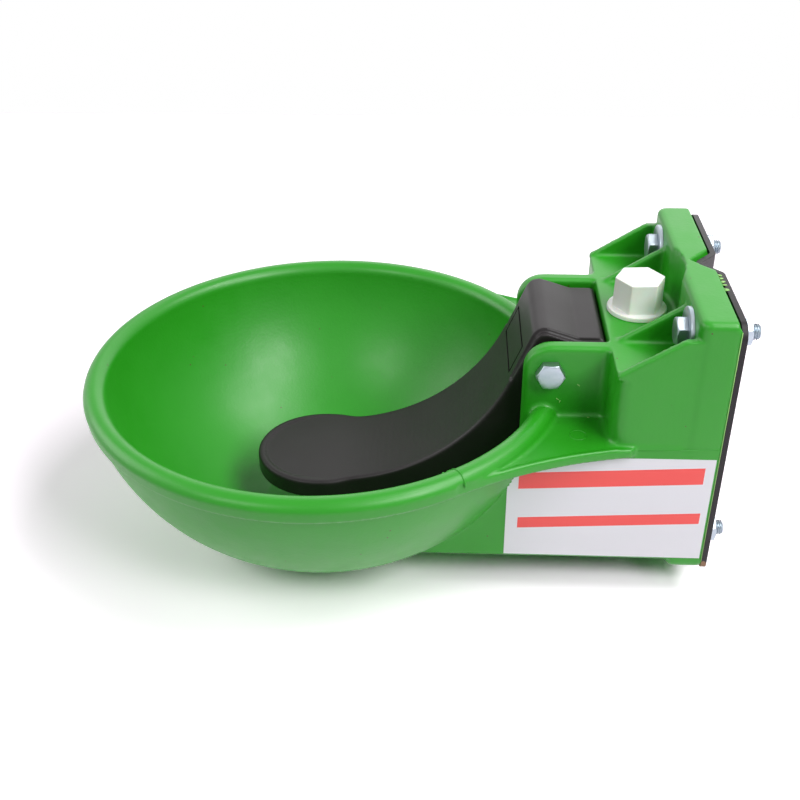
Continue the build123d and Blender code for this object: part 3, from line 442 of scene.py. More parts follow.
printed_vinyl, tree, shader = start_material("printed_vinyl", {
    "Base Color": linear(VINYL), "Roughness": 0.42, "IOR": 1.52,
})
place = add(tree, "TexCoord").outputs["Object"]
parts = add(tree, "SeparateXYZ", links={"Vector": place})
length = add(tree, "Math", {"operation": "SUBTRACT", 0: label_high.y}, {1: parts.outputs["Y"]})
height = add(tree, "Math", {"operation": "SUBTRACT", 0: label_high.z}, {1: parts.outputs["Z"]})
slope = add(tree, "Math", {"operation": "MULTIPLY", 1: -PRINT_TILT}, {0: length.outputs[0]})
down = add(tree, "Math", {"operation": "ADD"}, {0: height.outputs[0], 1: slope.outputs[0]})


def all_of(tests):
    """One where every test node gives one."""
    both = tests[0]
    for test in tests[1:]:
        both = add(tree, "Math", {"operation": "MULTIPLY"}, {0: both.outputs[0], 1: test.outputs[0]})
    return both


drawn = []
for band in BANDS:
    film_length = label_high.y - label_low.y
    limits = (
        (down, "GREATER_THAN", band["top"]), (down, "LESS_THAN", band["bottom"]),
        (length, "GREATER_THAN", band["back"]), (length, "LESS_THAN", film_length - band["front"]),
    )
    drawn.append(all_of([
        add(tree, "Math", {"operation": test, 1: limit}, {0: source.outputs[0]})
        for source, test, limit in limits
    ]))
either = add(tree, "Math", {"operation": "MAXIMUM"}, {0: drawn[0].outputs[0], 1: drawn[1].outputs[0]})
print_colour = add(tree, "MixRGB", {"Color1": linear(VINYL), "Color2": linear(BAND_RED)}, {
    "Fac": either.outputs[0],
})
wire(printed_vinyl, shader, {"Base Color": print_colour.outputs[0]})
print("label is", [round(v / MM, 1) for v in (label_high - label_low)], "mm")

# %% [markdown]
# ## Mesh tools
# The better-looking pieces are made from three moves. Closed shapes are drawn as rows of sections and
# skinned. Several closed shapes that overlap are wrapped by one fine voxel skin, which unites them and
# rounds every edge a little, as a mould does. A finished shape is then named, shaded smooth, given its
# material and tied to the body it moves with.

# %% Mesh tools
def skin(shape, sections, closed=False):
    """Join rows of points, all of one length, with faces. Open rows of sections get flat end caps."""
    rows = [[shape.verts.new(point) for point in section] for section in sections]
    pairs = list(zip(rows, rows[1:] + rows[:1])) if closed else list(zip(rows, rows[1:]))
    for row, after in pairs:
        for place in range(len(row)):
            beside = (place + 1) % len(row)
            shape.faces.new((row[place], row[beside], after[beside], after[place]))
    if not closed:
        shape.faces.new(rows[0][::-1])
        shape.faces.new(rows[-1])


def cad_shape(name):
    """The CAD node's mesh as a new shape with the seams between its faces welded."""
    shape = bmesh.new()
    shape.from_mesh(nodes[name].data)
    bmesh.ops.remove_doubles(shape, verts=shape.verts, dist=0.001 * MM)
    return shape


def with_modifiers(mesh, modifiers):
    """The mesh after a row of modifiers, each given as its kind and its settings."""
    rough = bpy.data.objects.new("rough", mesh)
    bpy.context.scene.collection.objects.link(rough)
    for kind, settings in modifiers:
        modifier = rough.modifiers.new(kind, kind)
        for name, value in settings.items():
            setattr(modifier, name, value)
    graph = bpy.context.evaluated_depsgraph_get()
    made = bpy.data.meshes.new_from_object(rough.evaluated_get(graph))
    bpy.data.objects.remove(rough)
    return made


def carved(mesh, cutter):
    """The mesh after the cutter shape is taken away from it."""
    tool = bpy.data.objects.new("cutter", to_mesh(cutter))
    bpy.context.scene.collection.objects.link(tool)
    settings = {"object": tool, "operation": "DIFFERENCE", "solver": "EXACT"}
    made = with_modifiers(mesh, [("BOOLEAN", settings)])
    bpy.data.objects.remove(tool)
    return made


def to_mesh(shape):
    """A mesh from the shape, its faces all looking outward."""
    bmesh.ops.recalc_face_normals(shape, faces=shape.faces)
    mesh = bpy.data.meshes.new("rough")
    shape.to_mesh(mesh)
    shape.free()
    return mesh


def finished(name, mesh, material, body, replaced=(), sharp_angle=180):
    """Name a mesh, give it its material and tie it to a body. Edges bent more than sharp_angle stay crisp."""
    piece = bpy.data.objects.new(name, mesh)
    bpy.context.scene.collection.objects.link(piece)
    mesh.name = name
    mesh.materials.clear()
    mesh.materials.append(material)
    mesh.polygons.foreach_set("use_smooth", [True] * len(mesh.polygons))
    if sharp_angle < 180:
        mesh.set_sharp_from_angle(angle=math.radians(sharp_angle))
    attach(piece, body)
    for node in replaced:
        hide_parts(node)
    corners = np.array(piece.bound_box)
    size = (corners.max(0) - corners.min(0)) / MM
    print(name, size.round(1).tolist(), "mm,", len(mesh.polygons), "faces")


# %% [markdown]
# ## The green moulding
# On the real bowl no inner corner is sharp: where a rib, an ear or the shelf meets a wall the mould is
# rounded by 2 to 5 mm so that the melt flows and the part doesn't crack. The CAD model leaves those
# corners plain. Here each one gets a cove, a bar whose section is a corner with a hollow round side,
# and the shelf gets its raised lip. Then one voxel skin is laid over everything and relaxed, which
# also rounds the outer edges by about a millimetre. Relaxing would leave the round bowl a little
# wavy, so its points are set back on the exact curves of its section. Before that, three cuts are
# made: the shelf's edge gets its inward sweep, and a narrow rebate along the flange's upper back edge
# leaves the dark gap that is seen between the moulding and the steel plate.

# %% Sizes of the moulding
BOWL_CENTRE = Vector((0, -201.9, 0)) * MM
RIM_RADIUS = 130 * MM
BAND_RADIUS = 129.2 * MM
SHELF_TOP = 6.2 * MM
SHELF_LOW = 1.2 * MM
DECK_TOP = 46 * MM
HOUSING_FRONT = -54.6 * MM
HOUSING_HALF = 69 * MM
HOUSING_CORNER = 7 * MM
FLANGE_FRONT = -19 * MM
FLANGE_HALF = 69.5 * MM
EAR_OUTER = 42.4 * MM
INNER_GUSSET = 33.5 * MM
GUSSET_HALF = 2 * MM
GUSSET_BASE = -48 * MM
OUTER_GUSSET_INSIDE = 65 * MM
GUSSET_RISE = 17.5 * MM
SWEEP_RADIUS = 215 * MM
LIP_NOSE = 3.3 * MM
COVE_ROOT = 1.0 * MM
COVE_STEPS = 6
ROUND_COVE_STEPS = 24
X, Y, Z = Vector((1, 0, 0)), Vector((0, 1, 0)), Vector((0, 0, 1))


def cove_section(corner, along_a, along_b, radius):
    """Section of a bar that fills an inner corner, hollow towards the open side."""
    centre = corner + radius * (along_a + along_b)
    hollow = []
    for step in range(COVE_STEPS + 1):
        angle = math.pi / 2 * step / COVE_STEPS
        hollow.append(centre - radius * (math.cos(angle) * along_b + math.sin(angle) * along_a))
    root = [
        corner + radius * along_b - COVE_ROOT * along_a, corner - COVE_ROOT * (along_a + along_b),
        corner + radius * along_a - COVE_ROOT * along_b,
    ]
    return hollow + root


def straight_cove(shape, corner, along_a, along_b, radius, run):
    """Cove along a straight corner, run long."""
    start = cove_section(Vector(corner), along_a, along_b, radius)
    skin(shape, [start, [point + run for point in start]])


def round_cove(shape, centre, turn_radius, radii, angles):
    """Cove round an upright column, its own radius changing evenly along the way."""
    sections = []
    for step in range(ROUND_COVE_STEPS + 1):
        share = step / ROUND_COVE_STEPS
        angle = math.radians(angles[0] + share * (angles[1] - angles[0]))
        outward = math.cos(angle) * X + math.sin(angle) * Y
        radius = radii[0] + share * (radii[1] - radii[0])
        sections.append(cove_section(centre + turn_radius * outward, outward, Z, radius))
    skin(shape, sections)


# %% Coves and lip
EAR_WALL_COVE = 3.5 * MM
EAR_SHELF_COVE = 1.1 * MM
FRONT_SHELF_COVE = 1.3 * MM
CORNER_FOOT_COVE = 3.6 * MM
GUSSET_COVE = 1.6 * MM
BEAD_COVE = 2.2 * MM
BEAD_COVE_START = 0.6 * MM
BEAD_COVE_INSET = 0.3 * MM
BEAD_COVE_TURN = (42, 71)
CORNER_FOOT_TURN = (-90, -30)
EAR_LENGTH = 28 * MM
COVE_END_GAP = 1 * MM
LIP_SIZE = 1.0 * MM
LIP_INSET = 1.1 * MM
LIP_LIFT = 0.2 * MM
LIP_STEPS = 60
LIP_START = (0.4, 8)
LIP_END = (0.3, 6)


def shelf_sweep(side):
    """Centre of the shelf edge's sweep, and the angles where its nose starts and the band takes over."""
    centre_x = FLANGE_HALF + SWEEP_RADIUS
    centre_y = math.sqrt((BAND_RADIUS + SWEEP_RADIUS) ** 2 - centre_x**2) + BOWL_CENTRE.y
    rise = math.sqrt(SWEEP_RADIUS**2 - (SWEEP_RADIUS - LIP_NOSE) ** 2)
    nose = math.atan2(-rise, -(SWEEP_RADIUS - LIP_NOSE))
    touch = math.atan2(BOWL_CENTRE.y - centre_y, -centre_x)
    return Vector((side * centre_x, centre_y, 0)), nose, touch


def lip(shape, side):
    """Raised round lip just inside the shelf's edge, thinning out at both ends."""
    centre, nose, touch = shelf_sweep(side)
    sections = []
    for step in range(LIP_STEPS + 1):
        share = step / LIP_STEPS
        angle = nose + share * (touch - nose)
        outward = Vector((side * math.cos(angle), math.sin(angle), 0))
        middle = centre + (SWEEP_RADIUS + LIP_INSET) * outward + (SHELF_TOP + LIP_LIFT) * Z
        growing, fading = LIP_START[0] + share * LIP_START[1], LIP_END[0] + (1 - share) * LIP_END[1]
        size = LIP_SIZE * min(1, growing, fading)
        sections.append([
            middle + size * (math.cos(turn) * outward + math.sin(turn) * Z)
            for turn in (math.radians(45 * eighth) for eighth in range(8))
        ])
    skin(shape, sections)


def mirrored_turn(side, angles):
    """Angles on the +X side as they are, and on the other side mirrored."""
    return angles if side > 0 else tuple(180 * (1 if angle > 0 else -1) - angle for angle in angles)


def coves(shape):
    """All the rounded inner corners of the moulding, on both sides of the middle."""
    for side in (-1, 1):
        out = side * X
        ear_foot = Vector((side * EAR_OUTER, HOUSING_FRONT, SHELF_TOP))
        straight_cove(shape, ear_foot, out, -Y, EAR_WALL_COVE, (DECK_TOP - SHELF_TOP - COVE_END_GAP) * Z)
        straight_cove(shape, ear_foot, out, Z, EAR_SHELF_COVE, -EAR_LENGTH * Y)
        flat_half = HOUSING_HALF - HOUSING_CORNER
        corner_centre = Vector((side * flat_half, HOUSING_FRONT + HOUSING_CORNER, SHELF_TOP))
        straight_cove(shape, ear_foot, -Y, Z, FRONT_SHELF_COVE, (flat_half - EAR_OUTER) * out)
        corner_radii = (FRONT_SHELF_COVE, CORNER_FOOT_COVE)
        round_cove(shape, corner_centre, HOUSING_CORNER, corner_radii, mirrored_turn(side, CORNER_FOOT_TURN))
        rise = GUSSET_RISE * Z
        base_run = (FLANGE_FRONT - GUSSET_BASE) * Y
        for face, away in ((INNER_GUSSET + GUSSET_HALF, out), (INNER_GUSSET - GUSSET_HALF, -out),
                           (OUTER_GUSSET_INSIDE, -out)):
            straight_cove(shape, (side * face, GUSSET_BASE, DECK_TOP), away, Z, GUSSET_COVE, base_run)
            straight_cove(shape, (side * face, FLANGE_FRONT, DECK_TOP), away, -Y, GUSSET_COVE, rise)
        outer_bay = (OUTER_GUSSET_INSIDE - INNER_GUSSET - GUSSET_HALF) * out
        bay_start = (side * (INNER_GUSSET + GUSSET_HALF), FLANGE_FRONT, DECK_TOP)
        straight_cove(shape, bay_start, -Y, Z, GUSSET_COVE, outer_bay)
        bead_foot = BOWL_CENTRE + SHELF_TOP * Z
        bead_turn = mirrored_turn(side, BEAD_COVE_TURN)
        round_cove(shape, bead_foot, RIM_RADIUS - BEAD_COVE_INSET, (BEAD_COVE_START, BEAD_COVE), bead_turn)
        lip(shape, side)


# %% Cuts before the skin
NOSE_WALL = 42.4 * MM
NOSE_ROOT = 2 * MM
NOSE_STEPS = 8
CUT_LOW = -1 * MM
CUT_HIGH = 13 * MM
CUT_REACH = 160 * MM
RIM_CLEARANCE = 0.05 * MM
SWEEP_STEPS = 48
REBATE_DEPTH = 1.3 * MM
REBATE_FLOOR = 71.2 * MM
FLANGE_TOP = 75 * MM
GROOVE_HALF = 12.2 * MM
GROOVE_DEEP = 10.7 * MM


def upright_prism(shape, outline, low, high):
    """Closed bar with an outline in plan, from one height to another."""
    skin(shape, [[Vector((x, y, height)) for x, y in outline] for height in (low, high)])


def round_point(centre, radius, side, angle):
    """Point in plan on a circle, with the angle measured from the side's outward direction."""
    return centre.x + side * radius * math.cos(angle), centre.y + radius * math.sin(angle)


def sweep_outline(side):
    """Plan outline of the space outside the shelf's edge, from its nose round to the bowl's rim."""
    centre, nose, touch = shelf_sweep(side)
    edge = []
    for step in range(SWEEP_STEPS + 1):
        angle = nose + step / SWEEP_STEPS * (touch - nose)
        edge.append(round_point(centre, SWEEP_RADIUS, side, angle))
    touch_x, touch_y = edge[-1]
    start = math.atan2(touch_y - BOWL_CENTRE.y, abs(touch_x))
    rim = [
        round_point(BOWL_CENTRE, RIM_RADIUS + RIM_CLEARANCE, side, start * (1 - step / SWEEP_STEPS))
        for step in range(1, SWEEP_STEPS)
    ]
    return edge + rim + [(side * CUT_REACH, BOWL_CENTRE.y), (side * CUT_REACH, edge[0][1])]


def nose_outline(side):
    """Plan outline of the shelf's round nose, where its edge comes out of the side wall."""
    centre = Vector((side * FLANGE_HALF, -NOSE_WALL - LIP_NOSE, 0))
    quarter = [math.radians(90 * (1 - step / NOSE_STEPS)) for step in range(NOSE_STEPS + 1)]
    arc = [round_point(centre, LIP_NOSE, side, turn) for turn in quarter]
    inner = side * (FLANGE_HALF - NOSE_ROOT)
    return [(inner, centre.y + LIP_NOSE)] + arc + [(inner, centre.y - LIP_NOSE)]


def rebate_outline():
    """Plan outline of the rebate behind the flange, which follows the plate's groove."""
    wall = math.hypot(GROOVE_HALF, GROOVE_DEEP)
    slant = REBATE_DEPTH * (wall - GROOVE_HALF) / GROOVE_DEEP
    reach = FLANGE_HALF + REBATE_DEPTH
    half = [
        (reach, REBATE_DEPTH), (reach, -REBATE_DEPTH), (FLANGE_HALF, -REBATE_DEPTH),
        (GROOVE_HALF + slant, -REBATE_DEPTH),
    ]
    tip = (0, -GROOVE_DEEP - REBATE_DEPTH * wall / GROOVE_HALF)
    return half + [tip] + [(-x, y) for x, y in half[::-1]]


# %% [markdown]
# The bowl's sides and its bead are three arcs in section. Each point of the skin that lies close to one
# of them is moved onto it, fully when it is very close and less when it is farther, so that the shelf,
# the ears and the tank still run into the bowl softly.

# %% Setting the round bowl back on its curves
BOWL_FOOT = 40 * MM
BOWL_OUTSIDE_LOW = -88 * MM
BOWL_INSIDE_LOW = -83 * MM
BOWL_SIDE_CURVE = 116 * MM
BODY_RADIUS = 127 * MM
INNER_RIM = 118 * MM
BEAD_SPRING = 7.2 * MM
BEAD_CENTRE = (124 * MM, 6.1 * MM)
BEAD_RADIUS = 6.1 * MM
SNAP_REACH = 0.45 * MM
SNAP_BLEND = 0.3
OUTSIDE_TOP = SHELF_LOW - 1 * MM
INSIDE_TOP = BEAD_SPRING - 1.5 * MM
NO_LIMIT = 1.0


def arc_centre(low, high, radius):
    """Centre of the arc that bulges away from the axis between two points given as radius and height."""
    across, up = high[0] - low[0], high[1] - low[1]
    chord = math.hypot(across, up)
    depth = math.sqrt(radius**2 - chord**2 / 4)
    return (low[0] + high[0]) / 2 - depth * up / chord, (low[1] + high[1]) / 2 + depth * across / chord


def onto_bowl(mesh):
    """Move the points that lie close to the bowl's section onto it."""
    points = np.empty(len(mesh.vertices) * 3)
    mesh.vertices.foreach_get("co", points)
    points = points.reshape(-1, 3)
    out_y = points[:, 1] - BOWL_CENTRE.y
    radius, height = np.hypot(points[:, 0], out_y), points[:, 2]
    arcs = (
        (arc_centre((BOWL_FOOT, BOWL_OUTSIDE_LOW), (BODY_RADIUS, SHELF_LOW), BOWL_SIDE_CURVE),
         BOWL_SIDE_CURVE, BOWL_OUTSIDE_LOW, OUTSIDE_TOP),
        (arc_centre((BOWL_FOOT, BOWL_INSIDE_LOW), (INNER_RIM, BEAD_SPRING), BOWL_SIDE_CURVE),
         BOWL_SIDE_CURVE, BOWL_INSIDE_LOW, INSIDE_TOP),
        (BEAD_CENTRE, BEAD_RADIUS, BEAD_SPRING, NO_LIMIT),
    )
    moved = 0
    for (centre_r, centre_z), arc, low, high in arcs:
        away_r, away_z = radius - centre_r, height - centre_z
        distance = np.hypot(away_r, away_z)
        error = arc - distance
        share = np.clip((SNAP_REACH - np.abs(error)) / (SNAP_BLEND * SNAP_REACH), 0, 1)
        share[(height < low) | (height > high) | (radius < BOWL_FOOT)] = 0
        radius = radius + share * away_r * error / distance
        height = height + share * away_z * error / distance
        moved += int((share > 0).sum())
    old_radius = np.maximum(np.hypot(points[:, 0], out_y), 1e-9)
    points[:, 0] *= radius / old_radius
    points[:, 1] = BOWL_CENTRE.y + out_y * radius / old_radius
    points[:, 2] = height
    mesh.vertices.foreach_set("co", points.ravel())
    mesh.update()
    return moved


# %% The moulding
HOUSING_VOXEL = 1.0 * MM
HOUSING_KEPT = 0.30
RELAX = ("SMOOTH", {"factor": 0.5, "iterations": 4})

cutter = bmesh.new()
for side in (-1, 1):
    upright_prism(cutter, sweep_outline(side), CUT_LOW, CUT_HIGH)
upright_prism(cutter, rebate_outline(), REBATE_FLOOR, FLANGE_TOP + REBATE_DEPTH)
cut_housing = carved(to_mesh(cad_shape("bowl_housing")), cutter)
print("faces after the cuts:", len(cut_housing.polygons), "before:", len(nodes["bowl_housing"].data.polygons))
shape = bmesh.new()
shape.from_mesh(cut_housing)
for side in (-1, 1):
    upright_prism(shape, nose_outline(side), SHELF_LOW, SHELF_TOP)
coves(shape)
voxel = HOUSING_VOXEL
wrapped = with_modifiers(to_mesh(shape), [
    ("REMESH", {"mode": "VOXEL", "voxel_size": voxel}), RELAX,
])
print("points set on the bowl's curves:", onto_bowl(wrapped), "of", len(wrapped.vertices))
wrapped = with_modifiers(wrapped, [("DECIMATE", {"ratio": HOUSING_KEPT})])
finished("moulded_housing", wrapped, green_polypropylene, "housing", ["bowl_housing"])

# %% [markdown]
# ## Bolts, nuts and washers
# A hexagon head is forged and its outer corners are then cut by a cone, which leaves a curved edge on
# every flat; the thread is rolled as one helical ridge. So each fastener is drawn as rings round its
# axis, all with the same number of points, and skinned: a ring is round, hexagonal or threaded. The
# large washers are punched, so their upper edge is drawn down round and the lower one stays sharp.

# %% Rings
HEX_FLATS = 13 * MM
HEX_CORNER_ROUND = 0.5 * MM
CHAMFER_START = 0.475
CHAMFER_SLOPE = math.tan(math.radians(30))
EDGE_ROUND = 0.18 * MM
RINGS_PER_PITCH = 9
CREST_SHARE = 0.12
FLANK_SHARE = 0.7
SECTOR_TURNS = (0, 1.9, 7, 14, 21, 30, 39, 46, 53, 58.1)
RING_TURNS = [math.radians(60 * sector + turn) for sector in range(6) for turn in SECTOR_TURNS]


def axis_frame(base, outward, corner):
    """Frame on a base point with Z pointing outward and X towards one corner of the hexagon."""
    return Matrix.Translation(base) @ Matrix((corner, outward.cross(corner), outward)).transposed().to_4x4()


def hex_radius(turn, flats, corner_round):
    """Distance from the axis to the side of a hexagon with rounded corners; a corner is at turn 0."""
    sixth = math.pi / 6
    from_corner = abs((turn + sixth) % (2 * sixth) - sixth)
    corner_centre = (flats / 2 - corner_round) / math.cos(sixth)
    touch = math.atan2(corner_round * math.sin(sixth), corner_centre + corner_round * math.cos(sixth))
    if from_corner > touch:
        return flats / 2 / math.cos(sixth - from_corner)
    across = corner_centre * math.sin(from_corner)
    return corner_centre * math.cos(from_corner) + math.sqrt(corner_round**2 - across**2)


def round_row(radius, height):
    """Circle of one radius, as the radius and height of each point of a ring."""
    return [(radius, height)] * len(RING_TURNS)


def hex_row(height, flats=HEX_FLATS, corner_round=HEX_CORNER_ROUND, inset=0.0):
    """Hexagon, drawn in by the inset, as the radius and height of each point of a ring."""
    return [(hex_radius(turn, flats, corner_round) - inset, height) for turn in RING_TURNS]


def coned_rows(height, way):
    """From the flat end face of a hexagon over its cone to its side. way is 1 upward and -1 downward."""
    start = CHAMFER_START * HEX_FLATS
    edge = round_row(start + EDGE_ROUND / 2, height - way * EDGE_ROUND / 3)
    cone = [(r, height - way * CHAMFER_SLOPE * (r - start)) for r, _ in hex_row(0, inset=EDGE_ROUND)]
    side = [(r, height - way * (CHAMFER_SLOPE * (r - start) + EDGE_ROUND)) for r, _ in hex_row(0)]
    return [round_row(start - EDGE_ROUND, height), edge, cone, side]


def thread_rows(low, high, radius, pitch, depth, tip_radius):
    """Rings through a right-hand thread with a cone at its low end. A nut's thread has a negative depth."""
    steps = round((high - low) / pitch * RINGS_PER_PITCH)
    rows = []
    for step in range(steps + 1):
        height = low + (high - low) * step / steps
        row = []
        for turn in RING_TURNS:
            phase = (height / pitch - turn / (2 * math.pi)) % 1
            share = min(1, max(0, (abs(2 * phase - 1) - CREST_SHARE) / FLANK_SHARE))
            row.append((min(radius - depth * share, tip_radius + height - low), height))
        rows.append(row)
    return rows


def skin_rings(shape, frame_matrix, rows, closed=False):
    """Skin a stack of rings that stand in the given frame."""
    sections = [
        [frame_matrix @ Vector((r * math.cos(turn), r * math.sin(turn), height))
         for (r, height), turn in zip(row, RING_TURNS)]
        for row in rows
    ]
    skin(shape, sections, closed)


# %% Fastener shapes
M8_RADIUS = 4 * MM
M8_PITCH = 1.25 * MM
M8_DEPTH = 0.65 * MM
M8_TIP = 3.1 * MM
HEAD_HEIGHT = 5.3 * MM
NUT_HEIGHT = 6.8 * MM
NUT_BORE = 4.03 * MM
LOCK_NUT_HEIGHT = 8 * MM
LOCK_HEX_HEIGHT = 5.9 * MM
COLLAR_RADIUS = 5.6 * MM
WASHER_RADIUS = 12 * MM
WASHER_BORE = 4.2 * MM
WASHER_HEIGHT = 2 * MM
DRAWN_EDGE = 0.5 * MM


def bolt(shape, place, length, threaded):
    """Hexagon bolt: its head stands on the frame's base and its shank hangs below it."""
    rows = thread_rows(-length, threaded - length, M8_RADIUS, M8_PITCH, M8_DEPTH, M8_TIP)
    rows += [round_row(M8_RADIUS, threaded - length + EDGE_ROUND), round_row(M8_RADIUS, -EDGE_ROUND)]
    rows += [round_row(M8_RADIUS + EDGE_ROUND, 0), hex_row(0, inset=EDGE_ROUND), hex_row(EDGE_ROUND)]
    rows += coned_rows(HEAD_HEIGHT, 1)[::-1]
    rows.append(round_row(M8_RADIUS, HEAD_HEIGHT))
    skin_rings(shape, place, rows)


def bore_rows(low, high):
    """Down a nut's bore, with a small countersink at both ends."""
    sink = 2 * EDGE_ROUND
    return [round_row(NUT_BORE + sink, high), round_row(NUT_BORE, high - sink),
            round_row(NUT_BORE, low + sink), round_row(NUT_BORE + sink, low)]


def nut(shape, place):
    """Hexagon nut with a cone at both faces; its base stands on the frame's base."""
    rows = coned_rows(0, -1) + coned_rows(NUT_HEIGHT, 1)[::-1] + bore_rows(0, NUT_HEIGHT)
    skin_rings(shape, place, rows, closed=True)


def lock_nut(shape, place):
    """Nut with a round collar rolled in over its nylon ring."""
    rows = coned_rows(0, -1) + coned_rows(LOCK_HEX_HEIGHT, 1)[::-1]
    rows += [round_row(COLLAR_RADIUS + out * EDGE_ROUND, height) for out, height in (
        (1, LOCK_HEX_HEIGHT), (0, LOCK_HEX_HEIGHT + EDGE_ROUND), (0, LOCK_NUT_HEIGHT - 3 * EDGE_ROUND),
        (-1, LOCK_NUT_HEIGHT - EDGE_ROUND), (-3, LOCK_NUT_HEIGHT),
    )]
    skin_rings(shape, place, rows + bore_rows(0, LOCK_NUT_HEIGHT), closed=True)


def punched_washer(shape, place):
    """Washer whose upper edge is drawn down round by the punch."""
    rows = [round_row(radius, height) for radius, height in (
        (WASHER_BORE, EDGE_ROUND), (WASHER_BORE + EDGE_ROUND, 0),
        (WASHER_RADIUS - EDGE_ROUND / 2, 0), (WASHER_RADIUS, EDGE_ROUND / 2),
        (WASHER_RADIUS, WASHER_HEIGHT - DRAWN_EDGE),
        (WASHER_RADIUS - DRAWN_EDGE / 3, WASHER_HEIGHT - DRAWN_EDGE / 3),
        (WASHER_RADIUS - DRAWN_EDGE, WASHER_HEIGHT), (WASHER_BORE + 2 * EDGE_ROUND, WASHER_HEIGHT),
        (WASHER_BORE, WASHER_HEIGHT - 2 * EDGE_ROUND),
    )]
    skin_rings(shape, place, rows, closed=True)


# %% Bolts, nuts and washers
BOLT_X = 48 * MM
BOLT_Z = 60 * MM
BEARING = -21 * MM
BOLT_LENGTH = 35 * MM
THREAD_SHOWN = 5 * MM
PLATE_BACK = 3 * MM
PIVOT = Vector((0, -83.5, 31.6)) * MM
PIVOT_LENGTH = 100 * MM
PIVOT_THREAD_SHOWN = 8 * MM
METAL_SHARP = 28

bolts, nuts, washers, pivot, pivot_nut = (bmesh.new() for _ in range(5))
for x in (-BOLT_X, BOLT_X):
    for z in (-BOLT_Z, BOLT_Z):
        bolt(bolts, axis_frame(Vector((x, BEARING, z)), -Y, Z), BOLT_LENGTH, THREAD_SHOWN)
        nut(nuts, axis_frame(Vector((x, PLATE_BACK, z)), Y, Z))
    punched_washer(washers, axis_frame(Vector((x, BEARING + WASHER_HEIGHT, BOLT_Z)), -Y, Z))
bolt(pivot, axis_frame(PIVOT + EAR_OUTER * X, X, Y), PIVOT_LENGTH, PIVOT_THREAD_SHOWN)
lock_nut(pivot_nut, axis_frame(PIVOT - EAR_OUTER * X, -X, Y))
for name, shape, node in (
    ("mounting_screws", bolts, "mounting_bolts"), ("hexagon_nuts", nuts, "mounting_nuts"),
    ("large_washers", washers, "fender_washers"), ("pivot_screw", pivot, "pivot_bolt"),
    ("lock_nut", pivot_nut, "pivot_lock_nut"),
):
    finished(name, to_mesh(shape), zinc_plated_steel, "housing", [node], METAL_SHARP)

# %% [markdown]
# ## The blind plug
# The plug is moulded with a little draft: its hexagon is narrower at the top, where the edge is crisp,
# and runs into the round flange with a small fillet. The shank is a half-inch pipe thread and hollow
# underneath, so that the wall stays even and the plastic doesn't sink.

# %% The plug
PLUG_BASE = Vector((0, -36.5, 46)) * MM
PLUG_TURN = math.radians(34)
PLUG_FLATS_TOP = 22.5 * MM
PLUG_FLATS_LOW = 23 * MM
PLUG_CORNER_ROUND = 0.9 * MM
PLUG_TOP = 18.8 * MM
PLUG_FLANGE_TOP = 2.5 * MM
PLUG_FLANGE_RADIUS = 15.5 * MM
PLUG_FLANGE_ROUND = 0.8 * MM
PLUG_FOOT_FILLET = 0.8 * MM
PLUG_EDGE = 0.3 * MM
ROUND_SHARE = 0.3
PLUG_CORE_RADIUS = 7 * MM
SHANK_END = -15 * MM
PIPE_RADIUS = 9.87 * MM
PIPE_PITCH = 1.81 * MM
PIPE_DEPTH = 0.9 * MM
PIPE_TIP = 8.8 * MM
PIPE_RUNOUT = -2 * MM


def plug_hex(height, inset=0.0):
    """Ring round the plug's hexagon, which narrows towards its top."""
    rise = (height - PLUG_FLANGE_TOP) / (PLUG_TOP - PLUG_FLANGE_TOP)
    flats = PLUG_FLATS_LOW + rise * (PLUG_FLATS_TOP - PLUG_FLATS_LOW)
    return hex_row(height, flats, PLUG_CORNER_ROUND, inset)


rows = [round_row(PLUG_CORE_RADIUS, -PLUG_EDGE), round_row(PLUG_CORE_RADIUS, SHANK_END)]
rows += thread_rows(SHANK_END, PIPE_RUNOUT, PIPE_RADIUS, PIPE_PITCH, PIPE_DEPTH, PIPE_TIP)
rows += [round_row(radius, height) for radius, height in (
    (PIPE_RADIUS - PIPE_DEPTH, 0), (PLUG_FLANGE_RADIUS - PLUG_EDGE, 0),
    (PLUG_FLANGE_RADIUS, PLUG_EDGE), (PLUG_FLANGE_RADIUS, PLUG_FLANGE_TOP - PLUG_FLANGE_ROUND),
    (PLUG_FLANGE_RADIUS - ROUND_SHARE * PLUG_FLANGE_ROUND, PLUG_FLANGE_TOP - ROUND_SHARE * PLUG_FLANGE_ROUND),
    (PLUG_FLANGE_RADIUS - PLUG_FLANGE_ROUND, PLUG_FLANGE_TOP),
)]
rows += [plug_hex(height, inset) for height, inset in (
    (PLUG_FLANGE_TOP, -PLUG_FOOT_FILLET),
    (PLUG_FLANGE_TOP + ROUND_SHARE * PLUG_FOOT_FILLET, -ROUND_SHARE * PLUG_FOOT_FILLET),
    (PLUG_FLANGE_TOP + PLUG_FOOT_FILLET, 0), (PLUG_TOP - PLUG_EDGE, 0), (PLUG_TOP, PLUG_EDGE),
)]
plug_corner = Vector((math.cos(PLUG_TURN), math.sin(PLUG_TURN), 0))
shape = bmesh.new()
skin_rings(shape, axis_frame(PLUG_BASE, Z, plug_corner), rows)
finished("moulded_plug", to_mesh(shape), white_nylon, "housing", ["blind_plug"], METAL_SHARP)

# %% [markdown]
# ## The water bushings
# Both brass bushings are turned from bar and tapped with the pipe thread. From below, the lower one is
# the first thing a plumber looks for, so its thread is cut as real geometry.

# %% Tapped bushings
BUSHING_RADIUS = 13 * MM
BUSHING_EDGE = 0.4 * MM
TAPPED_RADIUS = 9.9 * MM
TAPPED_SINK = 0.9 * MM


